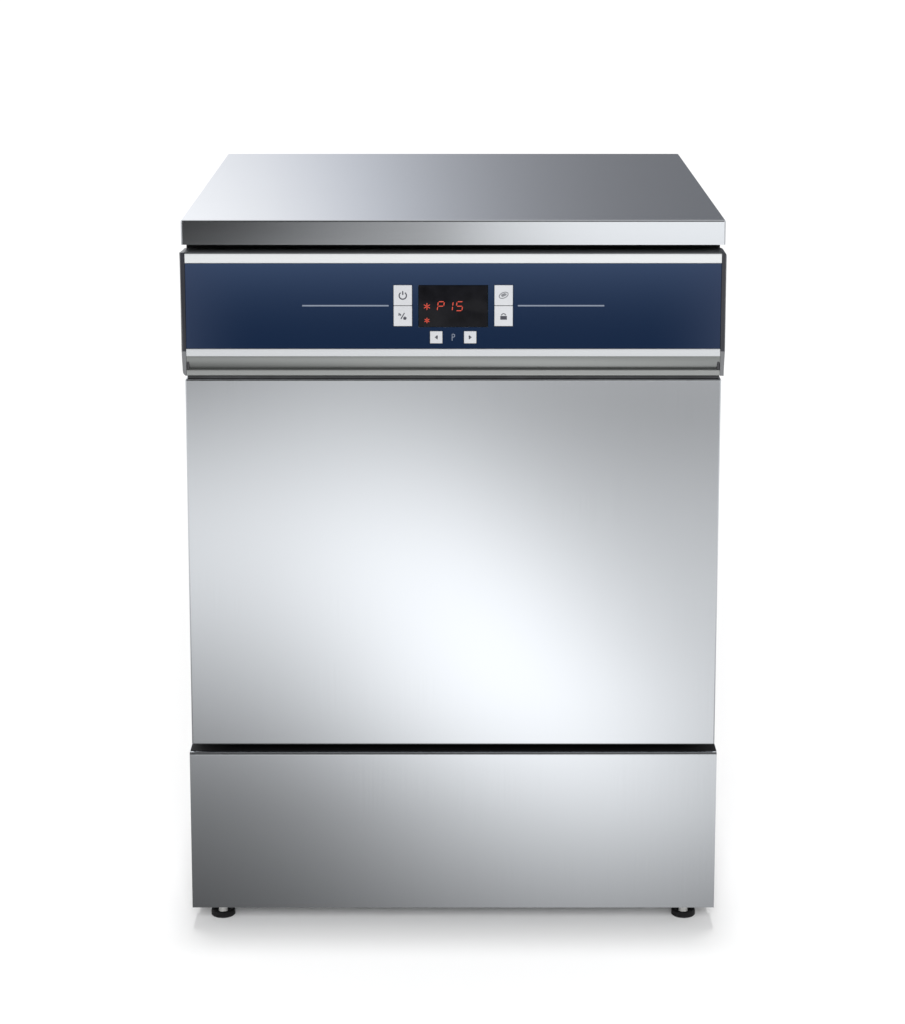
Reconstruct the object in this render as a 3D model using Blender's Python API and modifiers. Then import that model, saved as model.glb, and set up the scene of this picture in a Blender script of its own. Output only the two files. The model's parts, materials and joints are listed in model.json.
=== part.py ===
"""Under-counter commercial dishwasher with a drop-down door that carries its control console.

Metres, +Z up. The origin is on the floor under the middle of the cabinet, and the door faces -Y.
"""

import math

import bmesh
import bpy
from mathutils import Matrix, Vector

# Overall size and sheet metal
WIDTH = 0.600
DEPTH = 0.640
HEIGHT = 0.820
FRONT = -DEPTH / 2
BACK = DEPTH / 2
SHEET = 0.0012
GAP = 0.0003
LEFT, RIGHT = -1, 1

# Worktop and cabinet panels
WORKTOP_HALF = 0.298
WORKTOP_LIP = 0.0273
PANEL_HALF = 0.2964
PANEL_RETURN = 0.0142
PANEL_FRONT = -0.2715
PANEL_BOTTOM = 0.0248
REAR_FACE = 0.2997
REAR_RETURN = 0.012
BASE_HALF = 0.2818
BASE_FRONT = -0.289
BASE_BOTTOM = 0.0275
BASE_LIP = 0.030
KICK_FACE = -0.319
KICK_TOP = 0.2116
KICK_HALF = 0.2990
RAIL_BOTTOM = 0.7050
RAIL_TOP = 0.7900
RAIL_DEPTH = 0.026
LATCH_SLOT = 0.010
LATCH_SLOT_BOTTOM = 0.7300
LATCH_SLOT_TOP = 0.7620

# Wash chamber
TUB_HALF = 0.2620
TUB_BACK = 0.2590
TUB_FLOOR = 0.2618
TUB_CEILING = 0.6912
TUB_MOUTH = -0.2706
TUB_FLANGE = 0.0115
GASKET_WIDTH = 0.010
GASKET_DEPTH = 0.0080
SUMP_HALF_X = 0.130
SUMP_HALF_Y = 0.120
SUMP_BOTTOM = 0.1550
SUMP_EDGE = 0.005
FILTER_PLATE = 0.0020

# Door, hinged at the bottom
HINGE_Y = -0.300
HINGE_Z = 0.2466
DOOR_HALF = 0.2962
DOOR_BOTTOM = 0.2206
DOOR_TOP = 0.6427
DOOR_RETURN = 0.036
DOOR_HEM = 0.008
NOTCH_TOP = 0.2620
LINER_HALF = 0.2735
LINER_BACK = -0.2808
LINER_RETURN = 0.018
LINER_BOTTOM = 0.2426
LINER_TOP = 0.7000

# Console on top of the door
CONSOLE_HALF = 0.2942
CONSOLE_BACK = -0.2830
CONSOLE_TOP = 0.7841
CONSOLE_BOTTOM = 0.6466
CONSOLE_WALL = 0.0021
FASCIA_TOP = 0.7723
FASCIA_BOTTOM = 0.6767
FASCIA_FRONT = -0.3196
POCKET = 0.0016
GRIP_TOP = 0.6667
GRIP_BOTTOM = 0.6532
GRIP_DEPTH = 0.009
SHELF_BACK = -0.3005
CAP_CORNER = 0.005
COVER_BACK = -0.2838
COVER_SLOT = 0.0125
COVER_SLOT_BOTTOM = 0.7160
COVER_SLOT_TOP = 0.7600
STRIKE_HALF = 0.020
STRIKE_FRONT = -0.3050
STRIKE_BACK = -0.2864
STRIKE_BOTTOM = 0.7200
STRIKE_TOP = 0.7320
LATCH_Y = -0.2550
LATCH_Z = 0.7420
LATCH_TAIL = -0.2500
LATCH_TIP = -0.2960
LATCH_BAR = 0.004
LATCH_NOSE = 0.7335
LATCH_HALF = 0.006

# Controls
BUTTON_X = 0.0554
BUTTON_WIDTH = 0.0202
BUTTON_TOP = 0.7479
BUTTON_SPLIT = 0.7251
BUTTON_LOW = 0.7023
BUTTON_SEAM = 0.0005
BUTTON_DEPTH = 0.0070
SMALL_X = 0.0187
SMALL_SIDE = 0.0136
SMALL_Z = 0.68975
HOLE_PLAY = 0.0004
DISPLAY_HALF = 0.038
DISPLAY_TOP = 0.7477
DISPLAY_LOW = 0.7014
DISPLAY_DEPTH = 0.0020
BOARD_HALF = 0.090
BOARD_FRONT = -0.3085

# Spray arms, rack and filter
SPINDLE_RADIUS = 0.009
COLLAR_RADIUS = 0.014
COLLAR_HEIGHT = 0.005
BORE_RADIUS = 0.0096
WASH_LENGTH = 0.460
WASH_HALF_WIDTH = 0.016
WASH_HUB = 0.024
WASH_HEIGHT = 0.014
RINSE_LENGTH = 0.420
RINSE_HALF_WIDTH = 0.0045
RINSE_HUB = 0.015
RINSE_HEIGHT = 0.008
LOWER_WASH_Z = 0.2985
LOWER_RINSE_Z = 0.3175
UPPER_WASH_Z = 0.6600
UPPER_RINSE_Z = 0.6450
RACK_HALF = 0.249
RACK_CENTRE_Y = -0.0025
RACK_BOTTOM = 0.3500
RACK_TOP = 0.4500
RACK_WALL = 0.003
RACK_HOLES = 5
RACK_HOLE = 0.074
RACK_PITCH = 0.090
RAIL_INNER = 0.2380
RAIL_OUTER = 0.2605
RAIL_FOOT = 0.3200
RAIL_SHEET = 0.003
RAIL_START = -0.255
RAIL_END = 0.245
FILTER_X = 0.075
FILTER_Y = -0.065
FILTER_RADIUS = 0.034
FILTER_RIM = 0.040
CUP_BOTTOM = 0.190
HANDLE_BOTTOM = 0.262
HANDLE_TOP = 0.290

# Hinges and springs
BRACKET_INNER = 0.2765
PLATE = 0.003
BRACKET_FRONT = -0.309
BRACKET_BACK = -0.2300
BRACKET_HALF_HEIGHT = 0.0105
ARM_INNER = 0.2805
ARM_HALF_WIDTH = 0.012
ARM_TOP = 0.3600
PIN_RADIUS = 0.004
PIN_INNER = 0.2745
PIN_OUTER = 0.2865
SPRING_X = 0.2795
SPRING_Z = 0.150
SPRING_START = -0.060
SPRING_PITCH = 0.016
SPRING_TURNS = 9
SPRING_RADIUS = 0.010
SPRING_WIRE = 0.0012
SPRING_STEPS = 9

# Feet
FRONT_FOOT = (0.2675, -0.277)
REAR_FOOT = (0.265, 0.262)
FOOT_NOTCH = 0.0108
FOOT_RADIUS = 0.0138
FOOT_STEM = 0.005
FOOT_STEM_TOP = 0.075
FOOT_HOLE = 0.006
FOOT_PAD_TOP = 0.010
FOOT_COLLAR = 0.0085
FOOT_COLLAR_BOTTOM = 0.015
FOOT_COLLAR_TOP = 0.023

# Machinery under the wash chamber, and the water pipe round it
PIPE_RADIUS = 0.011
PIPE_REAR = 0.280
PIPE_OVER = 0.7165
PIPE_BEND = 0.022
PIPE_START = 0.120
PIPE_END = -0.012
WASH_PUMP = (-0.200, -0.100, 0.110)
VOLUTE_RADIUS = 0.052
VOLUTE_WIDTH = 0.044
VOLUTE_WALL = 0.004
VOLUTE_EYE = 0.018
SHAFT_HOLE = 0.0075
DRAIN_PUMP = (0.040, 0.160, 0.090)
BOILER = (0.205, -0.080, 0.120)
DOSING_PUMP = (0.180, -0.220, 0.130)
FITTING_FLANGE = 0.004

SEGMENTS = 24
MERGE = 0.00001


def clear_scene():
    """Empty the file, also when it is run a second time."""
    for obj in list(bpy.data.objects):
        bpy.data.objects.remove(obj, do_unlink=True)


def new_collection(name):
    group = bpy.data.collections.new(name)
    bpy.context.scene.collection.children.link(group)
    return group


def material(name, colour, roughness, metallic):
    mat = bpy.data.materials.new(name)
    mat.use_nodes = True
    shader = mat.node_tree.nodes["Principled BSDF"]
    shader.inputs["Base Color"].default_value = (*colour, 1.0)
    shader.inputs["Roughness"].default_value = roughness
    shader.inputs["Metallic"].default_value = metallic
    return mat


# ---------------------------------------------------------------- making shapes


def place(name, data, mat):
    """Put a mesh or curve in the scene as one named sub-part."""
    data.materials.append(mat)
    obj = bpy.data.objects.new(name, data)
    parts.objects.link(obj)
    return obj


def from_bmesh(name, bm, mat):
    mesh = bpy.data.meshes.new(name)
    bm.to_mesh(mesh)
    bm.free()
    return place(name, mesh, mat)


def box_bmesh(low, high):
    bm = bmesh.new()
    bmesh.ops.create_cube(bm, size=1.0)
    bmesh.ops.scale(bm, vec=Vector(high) - Vector(low), verts=bm.verts)
    bmesh.ops.translate(bm, vec=(Vector(high) + Vector(low)) / 2, verts=bm.verts)
    return bm


def box(name, low, high, mat, bevel=0.0):
    obj = from_bmesh(name, box_bmesh(low, high), mat)
    if bevel:
        soften = obj.modifiers.new("edges", "BEVEL")
        soften.width = bevel
        soften.segments = 2
    return obj


def fold(obj, sheet=SHEET):
    """Give an open surface the thickness of its sheet, inwards."""
    skin = obj.modifiers.new("sheet", "SOLIDIFY")
    skin.solidify_mode = "NON_MANIFOLD"
    skin.nonmanifold_thickness_mode = "CONSTRAINTS"
    skin.thickness = sheet
    skin.offset = -1.0


def tray(name, low, high, open_side, mat, sheet=SHEET):
    """A folded sheet: a box with one side left open."""
    bm = box_bmesh(low, high)
    lid = [face for face in bm.faces if face.normal.dot(Vector(open_side)) > 0.5]
    bmesh.ops.delete(bm, geom=lid, context="FACES")
    obj = from_bmesh(name, bm, mat)
    fold(obj, sheet)
    return obj


def cylinder_bmesh(start, direction, radius, length):
    bm = bmesh.new()
    bmesh.ops.create_cone(
        bm, cap_ends=True, segments=SEGMENTS, radius1=radius, radius2=radius, depth=length
    )
    turn = Vector((0, 0, 1)).rotation_difference(Vector(direction)).to_matrix().to_4x4()
    middle = Vector(start) + Vector(direction) * length / 2
    bm.transform(Matrix.Translation(middle) @ turn)
    return bm


def shade_round(obj):
    obj.data.shade_smooth()
    obj.data.set_sharp_from_angle(angle=math.radians(35))


def cylinder(name, start, direction, radius, length, mat):
    obj = from_bmesh(name, cylinder_bmesh(start, direction, radius, length), mat)
    shade_round(obj)
    return obj


def turned(name, profile, location, direction, mat, closed=False, steps=SEGMENTS):
    """Turn a profile of (radius, height) about its axis, which points along direction."""
    bm = bmesh.new()
    points = [bm.verts.new((radius, 0.0, height)) for radius, height in profile]
    for first, second in zip(points, points[1:]):
        bm.edges.new((first, second))
    if closed:
        bm.edges.new((points[-1], points[0]))
    obj = from_bmesh(name, bm, mat)
    lathe = obj.modifiers.new("lathe", "SCREW")
    lathe.steps = steps
    lathe.render_steps = steps
    lathe.use_merge_vertices = True
    lathe.merge_threshold = MERGE
    obj.rotation_mode = "QUATERNION"
    obj.rotation_quaternion = Vector((0, 0, 1)).rotation_difference(Vector(direction))
    obj.location = location
    return obj


def outline_data(name, loops, thickness):
    """A flat outline, with any further loops as holes, as a curve of the given thickness."""
    data = bpy.data.curves.new(name, "CURVE")
    data.dimensions = "2D"
    data.fill_mode = "BOTH"
    data.extrude = thickness / 2
    for loop in loops:
        spline = data.splines.new("POLY")
        spline.points.add(len(loop) - 1)
        for point, (across, along) in zip(spline.points, loop):
            point.co = (across, along, 0.0, 1.0)
        spline.use_cyclic_u = True
    return data


def baked(obj):
    """Replace a curve by its mesh with welded caps, so that it can be cut and joined."""
    bpy.context.view_layer.update()
    mesh = bpy.data.meshes.new_from_object(obj.evaluated_get(bpy.context.evaluated_depsgraph_get()))
    bm = bmesh.new()
    bm.from_mesh(mesh)
    bmesh.ops.remove_doubles(bm, verts=bm.verts, dist=MERGE)
    bm.to_mesh(mesh)
    bm.free()
    name = obj.name
    matrix = obj.matrix_world.copy()
    bpy.data.objects.remove(obj, do_unlink=True)
    solid = bpy.data.objects.new(name, mesh)
    parts.objects.link(solid)
    solid.matrix_world = matrix
    return solid


# Axes that an outline's own x, y and thickness follow
ALONG_X = Matrix(((0, 0, 1, 0), (1, 0, 0, 0), (0, 1, 0, 0), (0, 0, 0, 1)))
ALONG_Y = Matrix(((1, 0, 0, 0), (0, 0, -1, 0), (0, 1, 0, 0), (0, 0, 0, 1)))
ALONG_Z = Matrix.Identity(4)


def extruded(name, loops, frame, start, end, mat):
    """Extrude an outline along an axis between two stations."""
    obj = place(name, outline_data(name, loops, abs(end - start)), mat)
    middle = frame.to_3x3() @ Vector((0, 0, 1))
    station = (start + end) / 2
    if frame is ALONG_Y:
        station = -station
    obj.matrix_world = Matrix.Translation(middle * station) @ frame
    return baked(obj)


def tube(name, points, radius, mat):
    data = bpy.data.curves.new(name, "CURVE")
    data.dimensions = "3D"
    data.bevel_depth = radius
    data.bevel_resolution = 2
    data.use_fill_caps = True
    spline = data.splines.new("POLY")
    spline.points.add(len(points) - 1)
    for point, place_at in zip(spline.points, points):
        point.co = (*place_at, 1.0)
    return place(name, data, mat)


def boolean(obj, tool, operation):
    """Cut a tool out of a sub-part, or join it on."""
    for group in list(tool.users_collection):
        group.objects.unlink(tool)
    cutters.objects.link(tool)
    tool.hide_render = True
    tool.display_type = "WIRE"
    step = obj.modifiers.new(operation.lower(), "BOOLEAN")
    step.operation = operation
    step.solver = "EXACT"
    step.object = tool


def cut_box(obj, low, high):
    boolean(obj, box(obj.name + "_cutter", low, high, steel), "DIFFERENCE")


def cut_round(obj, start, direction, radius, length):
    tool = cylinder(obj.name + "_bore", start, direction, radius, length, steel)
    boolean(obj, tool, "DIFFERENCE")


def arc(centre, radius, start, end, steps=6, flatten=1.0):
    """Points of an arc between two angles in degrees; flatten squeezes it along its first axis."""
    points = []
    for step in range(steps + 1):
        angle = math.radians(start + (end - start) * step / steps)
        points.append(
            (centre[0] + radius * flatten * math.cos(angle), centre[1] + radius * math.sin(angle))
        )
    return points


def pivot(obj, point):
    """Move a sub-part's origin onto its joint's axis without moving the sub-part."""
    obj.data.transform(Matrix.Translation(-Vector(point)) @ obj.matrix_basis)
    obj.matrix_basis = Matrix.Translation(Vector(point))


def hang_on(obj, parent):
    obj.parent = parent
    obj.matrix_parent_inverse = parent.matrix_world.inverted()


def joint_empty(name, location):
    empty = bpy.data.objects.new(name, None)
    empty.location = location
    empty.empty_display_size = 0.05
    parts.objects.link(empty)
    bpy.context.view_layer.update()
    return empty


# ---------------------------------------------------------------- cabinet


def make_worktop():
    low = (-WORKTOP_HALF, FRONT, HEIGHT - WORKTOP_LIP)
    tray("worktop", low, (WORKTOP_HALF, BACK, HEIGHT), (0, 0, -1), steel)


def make_side_panels():
    top = HEIGHT - SHEET - GAP
    for side, name in ((LEFT, "side_panel_left"), (RIGHT, "side_panel_right")):
        across = sorted((side * PANEL_HALF, side * (PANEL_HALF - PANEL_RETURN)))
        low = (across[0], PANEL_FRONT, PANEL_BOTTOM)
        high = (across[1], BACK - SHEET - GAP, top)
        tray(name, low, high, (-side, 0, 0), steel)


def make_rear_panel():
    half = PANEL_HALF - SHEET - GAP
    low = (-half, REAR_FACE - REAR_RETURN, BASE_BOTTOM + BASE_LIP / 4)
    tray("rear_panel", low, (half, REAR_FACE, RAIL_TOP + 0.02), (0, -1, 0), steel)


def make_base_tray():
    low = (-BASE_HALF, BASE_FRONT, BASE_BOTTOM)
    high = (BASE_HALF, REAR_FACE - REAR_RETURN - 0.001, BASE_BOTTOM + BASE_LIP)
    base = tray("base_tray", low, high, (0, 0, 1), steel)
    for across, y in (FRONT_FOOT, REAR_FOOT):
        for x in (-across, across):
            cut_round(base, (x, y, BASE_BOTTOM - BASE_LIP / 2), (0, 0, 1), FOOT_HOLE, BASE_LIP)


def make_kick_panel():
    low = (-KICK_HALF, KICK_FACE, PANEL_BOTTOM)
    kick = tray("kick_panel", low, (KICK_HALF, PANEL_FRONT - 0.002, KICK_TOP), (0, 1, 0), steel)
    across, y = FRONT_FOOT
    for x in (-across, across):
        notch_low = (x - FOOT_NOTCH, y - FOOT_NOTCH - 0.001, PANEL_BOTTOM - 0.005)
        cut_box(kick, notch_low, (x + FOOT_NOTCH, PANEL_FRONT, PANEL_BOTTOM + 0.002))


def make_front_rail():
    half = PANEL_HALF - PANEL_RETURN - 0.001
    low = (-half, PANEL_FRONT, RAIL_BOTTOM)
    rail = tray("front_top_rail", low, (half, PANEL_FRONT + RAIL_DEPTH, RAIL_TOP), (0, 1, 0), steel)
    slot_low = (-LATCH_SLOT, PANEL_FRONT - 0.01, LATCH_SLOT_BOTTOM)
    cut_box(rail, slot_low, (LATCH_SLOT, PANEL_FRONT + 0.01, LATCH_SLOT_TOP))


def make_feet():
    edge = 0.002
    profile = [(0, FOOT_STEM_TOP), (FOOT_STEM, FOOT_STEM_TOP), (FOOT_STEM, FOOT_COLLAR_TOP)]
    profile += [(FOOT_COLLAR, FOOT_COLLAR_TOP), (FOOT_COLLAR, FOOT_COLLAR_BOTTOM)]
    profile += [(FOOT_RADIUS, FOOT_PAD_TOP), (FOOT_RADIUS, edge), (FOOT_RADIUS - edge, 0), (0, 0)]
    for (across, y), end in ((FRONT_FOOT, "front"), (REAR_FOOT, "rear")):
        for x, side in ((-across, "left"), (across, "right")):
            turned(f"foot_{end}_{side}", profile, (x, y, 0), (0, 0, 1), rubber, steps=16)


# ---------------------------------------------------------------- wash chamber


def make_tub():
    """A box open at the front, with a flange around its mouth, and holes for sump and spindle."""
    bm = box_bmesh((-TUB_HALF, TUB_MOUTH, TUB_FLOOR), (TUB_HALF, TUB_BACK, TUB_CEILING))
    lid = [face for face in bm.faces if face.normal.y < -0.5]
    bmesh.ops.delete(bm, geom=lid, context="FACES")
    rim = [edge for edge in bm.edges if edge.is_boundary]
    flange = bmesh.ops.extrude_edge_only(bm, edges=rim)["geom"]
    middle = (TUB_FLOOR + TUB_CEILING) / 2
    for vert in (item for item in flange if isinstance(item, bmesh.types.BMVert)):
        vert.co.x += math.copysign(TUB_FLANGE, vert.co.x)
        vert.co.z += math.copysign(TUB_FLANGE, vert.co.z - middle)
    tub = from_bmesh("tub", bm, steel)
    fold(tub)
    half_x = SUMP_HALF_X - SUMP_EDGE
    half_y = SUMP_HALF_Y - SUMP_EDGE
    cut_box(tub, (-half_x, -half_y, TUB_FLOOR - 0.01), (half_x, half_y, TUB_FLOOR + 0.01))
    cut_round(tub, (0, 0, TUB_CEILING - 0.01), (0, 0, 1), SPINDLE_RADIUS + 0.0015, 0.02)


def make_gasket():
    """A square seal around the mouth, between the tub's flange and the door's liner."""
    front = TUB_MOUTH - SHEET - GAP
    outer = TUB_HALF + GASKET_WIDTH
    top = TUB_CEILING + GASKET_WIDTH
    bottom = TUB_FLOOR - GASKET_WIDTH
    low = (-outer, front - GASKET_DEPTH, bottom)
    seal = box("tub_gasket", low, (outer, front, top), rubber)
    inner = (TUB_HALF, front + 0.01, TUB_CEILING)
    cut_box(seal, (-TUB_HALF, front - 0.02, TUB_FLOOR), inner)


def make_sump():
    low = (-SUMP_HALF_X, -SUMP_HALF_Y, SUMP_BOTTOM)
    tray("sump", low, (SUMP_HALF_X, SUMP_HALF_Y, TUB_FLOOR - 2 * GAP), (0, 0, 1), steel)


def make_filter():
    """The coarse filter plate over the sump, and the cup that lifts out of it."""
    bottom = TUB_FLOOR + SHEET + GAP
    top = bottom + FILTER_PLATE
    low = (-SUMP_HALF_X - SUMP_EDGE, -SUMP_HALF_Y - SUMP_EDGE, bottom)
    plate = box("filter_plate", low, (SUMP_HALF_X + SUMP_EDGE, SUMP_HALF_Y + SUMP_EDGE, top), steel)
    cut_round(plate, (0, 0, bottom - 0.01), (0, 0, 1), SPINDLE_RADIUS + 0.0015, 0.03)
    cut_round(plate, (FILTER_X, FILTER_Y, bottom - 0.01), (0, 0, 1), FILTER_RADIUS + 0.001, 0.03)
    wall = 0.002
    rim_bottom = top + GAP
    rim_top = rim_bottom + wall
    inside = FILTER_RADIUS - wall
    profile = [(0, CUP_BOTTOM + wall), (inside, CUP_BOTTOM + wall), (inside, rim_top)]
    profile += [(FILTER_RIM, rim_top), (FILTER_RIM, rim_bottom)]
    profile += [(FILTER_RADIUS, rim_bottom), (FILTER_RADIUS, CUP_BOTTOM), (0, CUP_BOTTOM)]
    cup = turned("filter_cup", profile, (FILTER_X, FILTER_Y, 0), (0, 0, 1), grey_plastic)
    reach = FILTER_RADIUS - wall / 2
    low = (FILTER_X - reach, FILTER_Y - wall, HANDLE_BOTTOM)
    handle = box("filter_handle", low, (FILTER_X + reach, FILTER_Y + wall, HANDLE_TOP), steel)
    boolean(cup, handle, "UNION")


def make_spindles():
    """Fixed pillars that the spray arms turn on, each with a collar that carries the arm."""
    bottom = SUMP_BOTTOM + SHEET + GAP
    top = LOWER_RINSE_Z + RINSE_HEIGHT + 0.005
    collar = LOWER_WASH_Z - GAP
    profile = [(0, top), (SPINDLE_RADIUS, top), (SPINDLE_RADIUS, collar), (COLLAR_RADIUS, collar)]
    profile += [(COLLAR_RADIUS, collar - COLLAR_HEIGHT), (SPINDLE_RADIUS, collar - COLLAR_HEIGHT)]
    profile += [(SPINDLE_RADIUS, bottom), (0, bottom)]
    turned("lower_spindle", profile, (0, 0, 0), (0, 0, 1), steel)
    top = TUB_CEILING + 0.012
    collar = UPPER_RINSE_Z - GAP
    profile = [(0, top), (SPINDLE_RADIUS, top), (SPINDLE_RADIUS, collar), (COLLAR_RADIUS, collar)]
    profile += [(COLLAR_RADIUS, collar - COLLAR_HEIGHT), (0, collar - COLLAR_HEIGHT)]
    turned("upper_spindle", profile, (0, 0, 0), (0, 0, 1), steel)


def arm_outline(length, half_width, hub):
    """A long bar with round ends that swells into a round hub, with the spindle's bore."""
    reach = length / 2 - half_width
    lean = math.degrees(math.asin(half_width / hub))
    loop = arc((reach, 0), half_width, -90, 90)
    loop += arc((0, 0), hub, lean, 180 - lean)
    loop += arc((-reach, 0), half_width, 90, 270)
    loop += arc((0, 0), hub, 180 + lean, 360 - lean)
    bore = arc((0, 0), BORE_RADIUS, 0, 360, steps=SEGMENTS)[:-1]
    return [loop, bore]


def make_spray_arms():
    wash = arm_outline(WASH_LENGTH, WASH_HALF_WIDTH, WASH_HUB)
    rinse = arm_outline(RINSE_LENGTH, RINSE_HALF_WIDTH, RINSE_HUB)
    for level, wash_z, rinse_z in (
        ("lower", LOWER_WASH_Z, LOWER_RINSE_Z),
        ("upper", UPPER_WASH_Z, UPPER_RINSE_Z),
    ):
        extruded(f"{level}_wash_arm", wash, ALONG_Z, wash_z, wash_z + WASH_HEIGHT, steel)
        extruded(f"{level}_rinse_arm", rinse, ALONG_Z, rinse_z, rinse_z + RINSE_HEIGHT, steel)


def make_rack():
    """A square basket with a grid floor and hand holes at its front and back."""
    low = (-RACK_HALF, RACK_CENTRE_Y - RACK_HALF, RACK_BOTTOM)
    high = (RACK_HALF, RACK_CENTRE_Y + RACK_HALF, RACK_TOP)
    rack = tray("rack", low, high, (0, 0, 1), blue_plastic, RACK_WALL)
    bm = bmesh.new()
    middle = (RACK_HOLES - 1) / 2
    for column in range(RACK_HOLES):
        for row in range(RACK_HOLES):
            hole = bmesh.ops.create_cube(bm, size=RACK_HOLE)["verts"]
            spot = ((column - middle) * RACK_PITCH, (row - middle) * RACK_PITCH + RACK_CENTRE_Y, RACK_BOTTOM)
            bmesh.ops.translate(bm, vec=spot, verts=hole)
    boolean(rack, from_bmesh("rack_grid_cutter", bm, steel), "DIFFERENCE")
    cut_box(rack, (-0.055, -DEPTH, RACK_TOP - 0.035), (0.055, DEPTH, RACK_TOP - 0.013))
    pivot(rack, (0, RACK_CENTRE_Y, RACK_BOTTOM))


def make_rack_rails():
    for side, name in ((LEFT, "rack_rail_left"), (RIGHT, "rack_rail_right")):
        top = RACK_BOTTOM - GAP
        loop = [(RAIL_OUTER, RAIL_FOOT), (RAIL_OUTER, top), (RAIL_INNER, top)]
        loop += [(RAIL_INNER, top - RAIL_SHEET), (RAIL_OUTER - RAIL_SHEET, top - RAIL_SHEET)]
        loop += [(RAIL_OUTER - RAIL_SHEET, RAIL_FOOT)]
        loop = [(side * x, z) for x, z in loop]
        extruded(name, [loop], ALONG_Y, RAIL_START, RAIL_END, steel)


# ---------------------------------------------------------------- door


def make_door_panel(door):
    """The outer sheet: side and top returns, a short hem below, and notches for the swing."""
    bm = box_bmesh((-DOOR_HALF, FRONT, DOOR_BOTTOM), (DOOR_HALF, FRONT + DOOR_RETURN, DOOR_TOP))
    lid = [face for face in bm.faces if face.normal.y > 0.5]
    bmesh.ops.delete(bm, geom=lid, context="FACES")
    panel = from_bmesh("door_outer_panel", bm, steel)
    fold(panel)
    beyond = FRONT + DOOR_RETURN + 0.01
    inside = DOOR_HALF - SHEET - GAP
    for height, edge in ((DOOR_BOTTOM, FRONT + DOOR_HEM), (DOOR_TOP, SHELF_BACK)):
        cut_box(panel, (-inside, edge, height - 0.01), (inside, beyond, height + 0.01))
    for side in (LEFT, RIGHT):
        across = sorted((side * (DOOR_HALF - 0.01), side * (DOOR_HALF + 0.01)))
        low = (across[0], HINGE_Y - 0.002, DOOR_BOTTOM - 0.01)
        cut_box(panel, low, (across[1], beyond, NOTCH_TOP))
    hang_on(panel, door)


def make_door_liner(door):
    low = (-LINER_HALF, LINER_BACK - LINER_RETURN, LINER_BOTTOM)
    liner = tray("door_liner", low, (LINER_HALF, LINER_BACK, LINER_TOP), (0, -1, 0), steel)
    hang_on(liner, door)


def console_outline():
    """The console's section, from back to front: top wall, front with pocket, grip and shelf."""
    round_edge = 0.002
    back_of_grip = FRONT + GRIP_DEPTH + CONSOLE_WALL
    half_grip = (GRIP_TOP - GRIP_BOTTOM) / 2
    grip_middle = (GRIP_TOP + GRIP_BOTTOM) / 2
    inside = FRONT + POCKET + CONSOLE_WALL
    loop = [(CONSOLE_BACK, CONSOLE_TOP)]
    loop += arc((FRONT + round_edge, CONSOLE_TOP - round_edge), round_edge, 90, 180, steps=3)
    loop += [(FRONT, FASCIA_TOP), (FRONT + POCKET, FASCIA_TOP)]
    loop += [(FRONT + POCKET, FASCIA_BOTTOM), (FRONT, FASCIA_BOTTOM)]
    loop += arc((FRONT, grip_middle), half_grip, 90, -90, steps=10, flatten=GRIP_DEPTH / half_grip)
    loop += [(FRONT, CONSOLE_BOTTOM), (SHELF_BACK, CONSOLE_BOTTOM)]
    loop += [(SHELF_BACK, CONSOLE_BOTTOM + CONSOLE_WALL), (back_of_grip, CONSOLE_BOTTOM + CONSOLE_WALL)]
    loop += [(back_of_grip, FASCIA_BOTTOM - CONSOLE_WALL), (inside, FASCIA_BOTTOM)]
    loop += [(inside, CONSOLE_TOP - CONSOLE_WALL), (CONSOLE_BACK, CONSOLE_TOP - CONSOLE_WALL)]
    return loop


def control_windows():
    """Low and high (x, z) corners of each hole in the fascia: two button columns, two keys, display."""
    holes = []
    for side in (LEFT, RIGHT):
        half = BUTTON_WIDTH / 2 + HOLE_PLAY
        middle = side * BUTTON_X
        holes.append(((middle - half, BUTTON_LOW - HOLE_PLAY), (middle + half, BUTTON_TOP + HOLE_PLAY)))
        half = SMALL_SIDE / 2 + HOLE_PLAY
        middle = side * SMALL_X
        holes.append(((middle - half, SMALL_Z - half), (middle + half, SMALL_Z + half)))
    holes.append(((-DISPLAY_HALF - GAP, DISPLAY_LOW - GAP), (DISPLAY_HALF + GAP, DISPLAY_TOP + GAP)))
    return holes


def make_console(door):
    body = extruded("console_body", [console_outline()], ALONG_X, -CONSOLE_HALF, CONSOLE_HALF, silver)
    low = (-CONSOLE_HALF, FASCIA_FRONT, FASCIA_BOTTOM + GAP)
    high = (CONSOLE_HALF, FRONT + POCKET - GAP, FASCIA_TOP - GAP)
    fascia = box("console_fascia", low, high, blue)
    for (left, bottom), (right, top) in control_windows():
        for panel in (body, fascia):
            cut_box(panel, (left, FRONT - 0.01, bottom), (right, FRONT + 0.0055, top))
    for piece in (body, fascia):
        hang_on(piece, door)


def make_console_cover(door):
    """The flat sheet that closes the console's back, with a slot for the latch's hook."""
    low = (-CONSOLE_HALF + GAP, COVER_BACK - SHEET, LINER_TOP + GAP)
    high = (CONSOLE_HALF - GAP, COVER_BACK, CONSOLE_TOP - CONSOLE_WALL - GAP)
    cover = box("console_cover", low, high, steel)
    slot_low = (-COVER_SLOT, COVER_BACK - 0.01, COVER_SLOT_BOTTOM)
    cut_box(cover, slot_low, (COVER_SLOT, COVER_BACK + 0.01, COVER_SLOT_TOP))
    hang_on(cover, door)


def make_end_caps(door):
    radius = CAP_CORNER
    top = CONSOLE_TOP - radius
    bottom = CONSOLE_BOTTOM + radius
    loop = [(CONSOLE_BACK, CONSOLE_TOP)]
    loop += arc((FRONT + radius, top), radius, 90, 180)
    loop += arc((FRONT + radius, bottom), radius, 180, 270)
    loop += [(CONSOLE_BACK, CONSOLE_BOTTOM)]
    for side, name in ((LEFT, "end_cap_left"), (RIGHT, "end_cap_right")):
        across = sorted((side * (CONSOLE_HALF + GAP), side * WIDTH / 2))
        hang_on(extruded(name, [loop], ALONG_X, across[0], across[1], grey_plastic), door)


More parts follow.
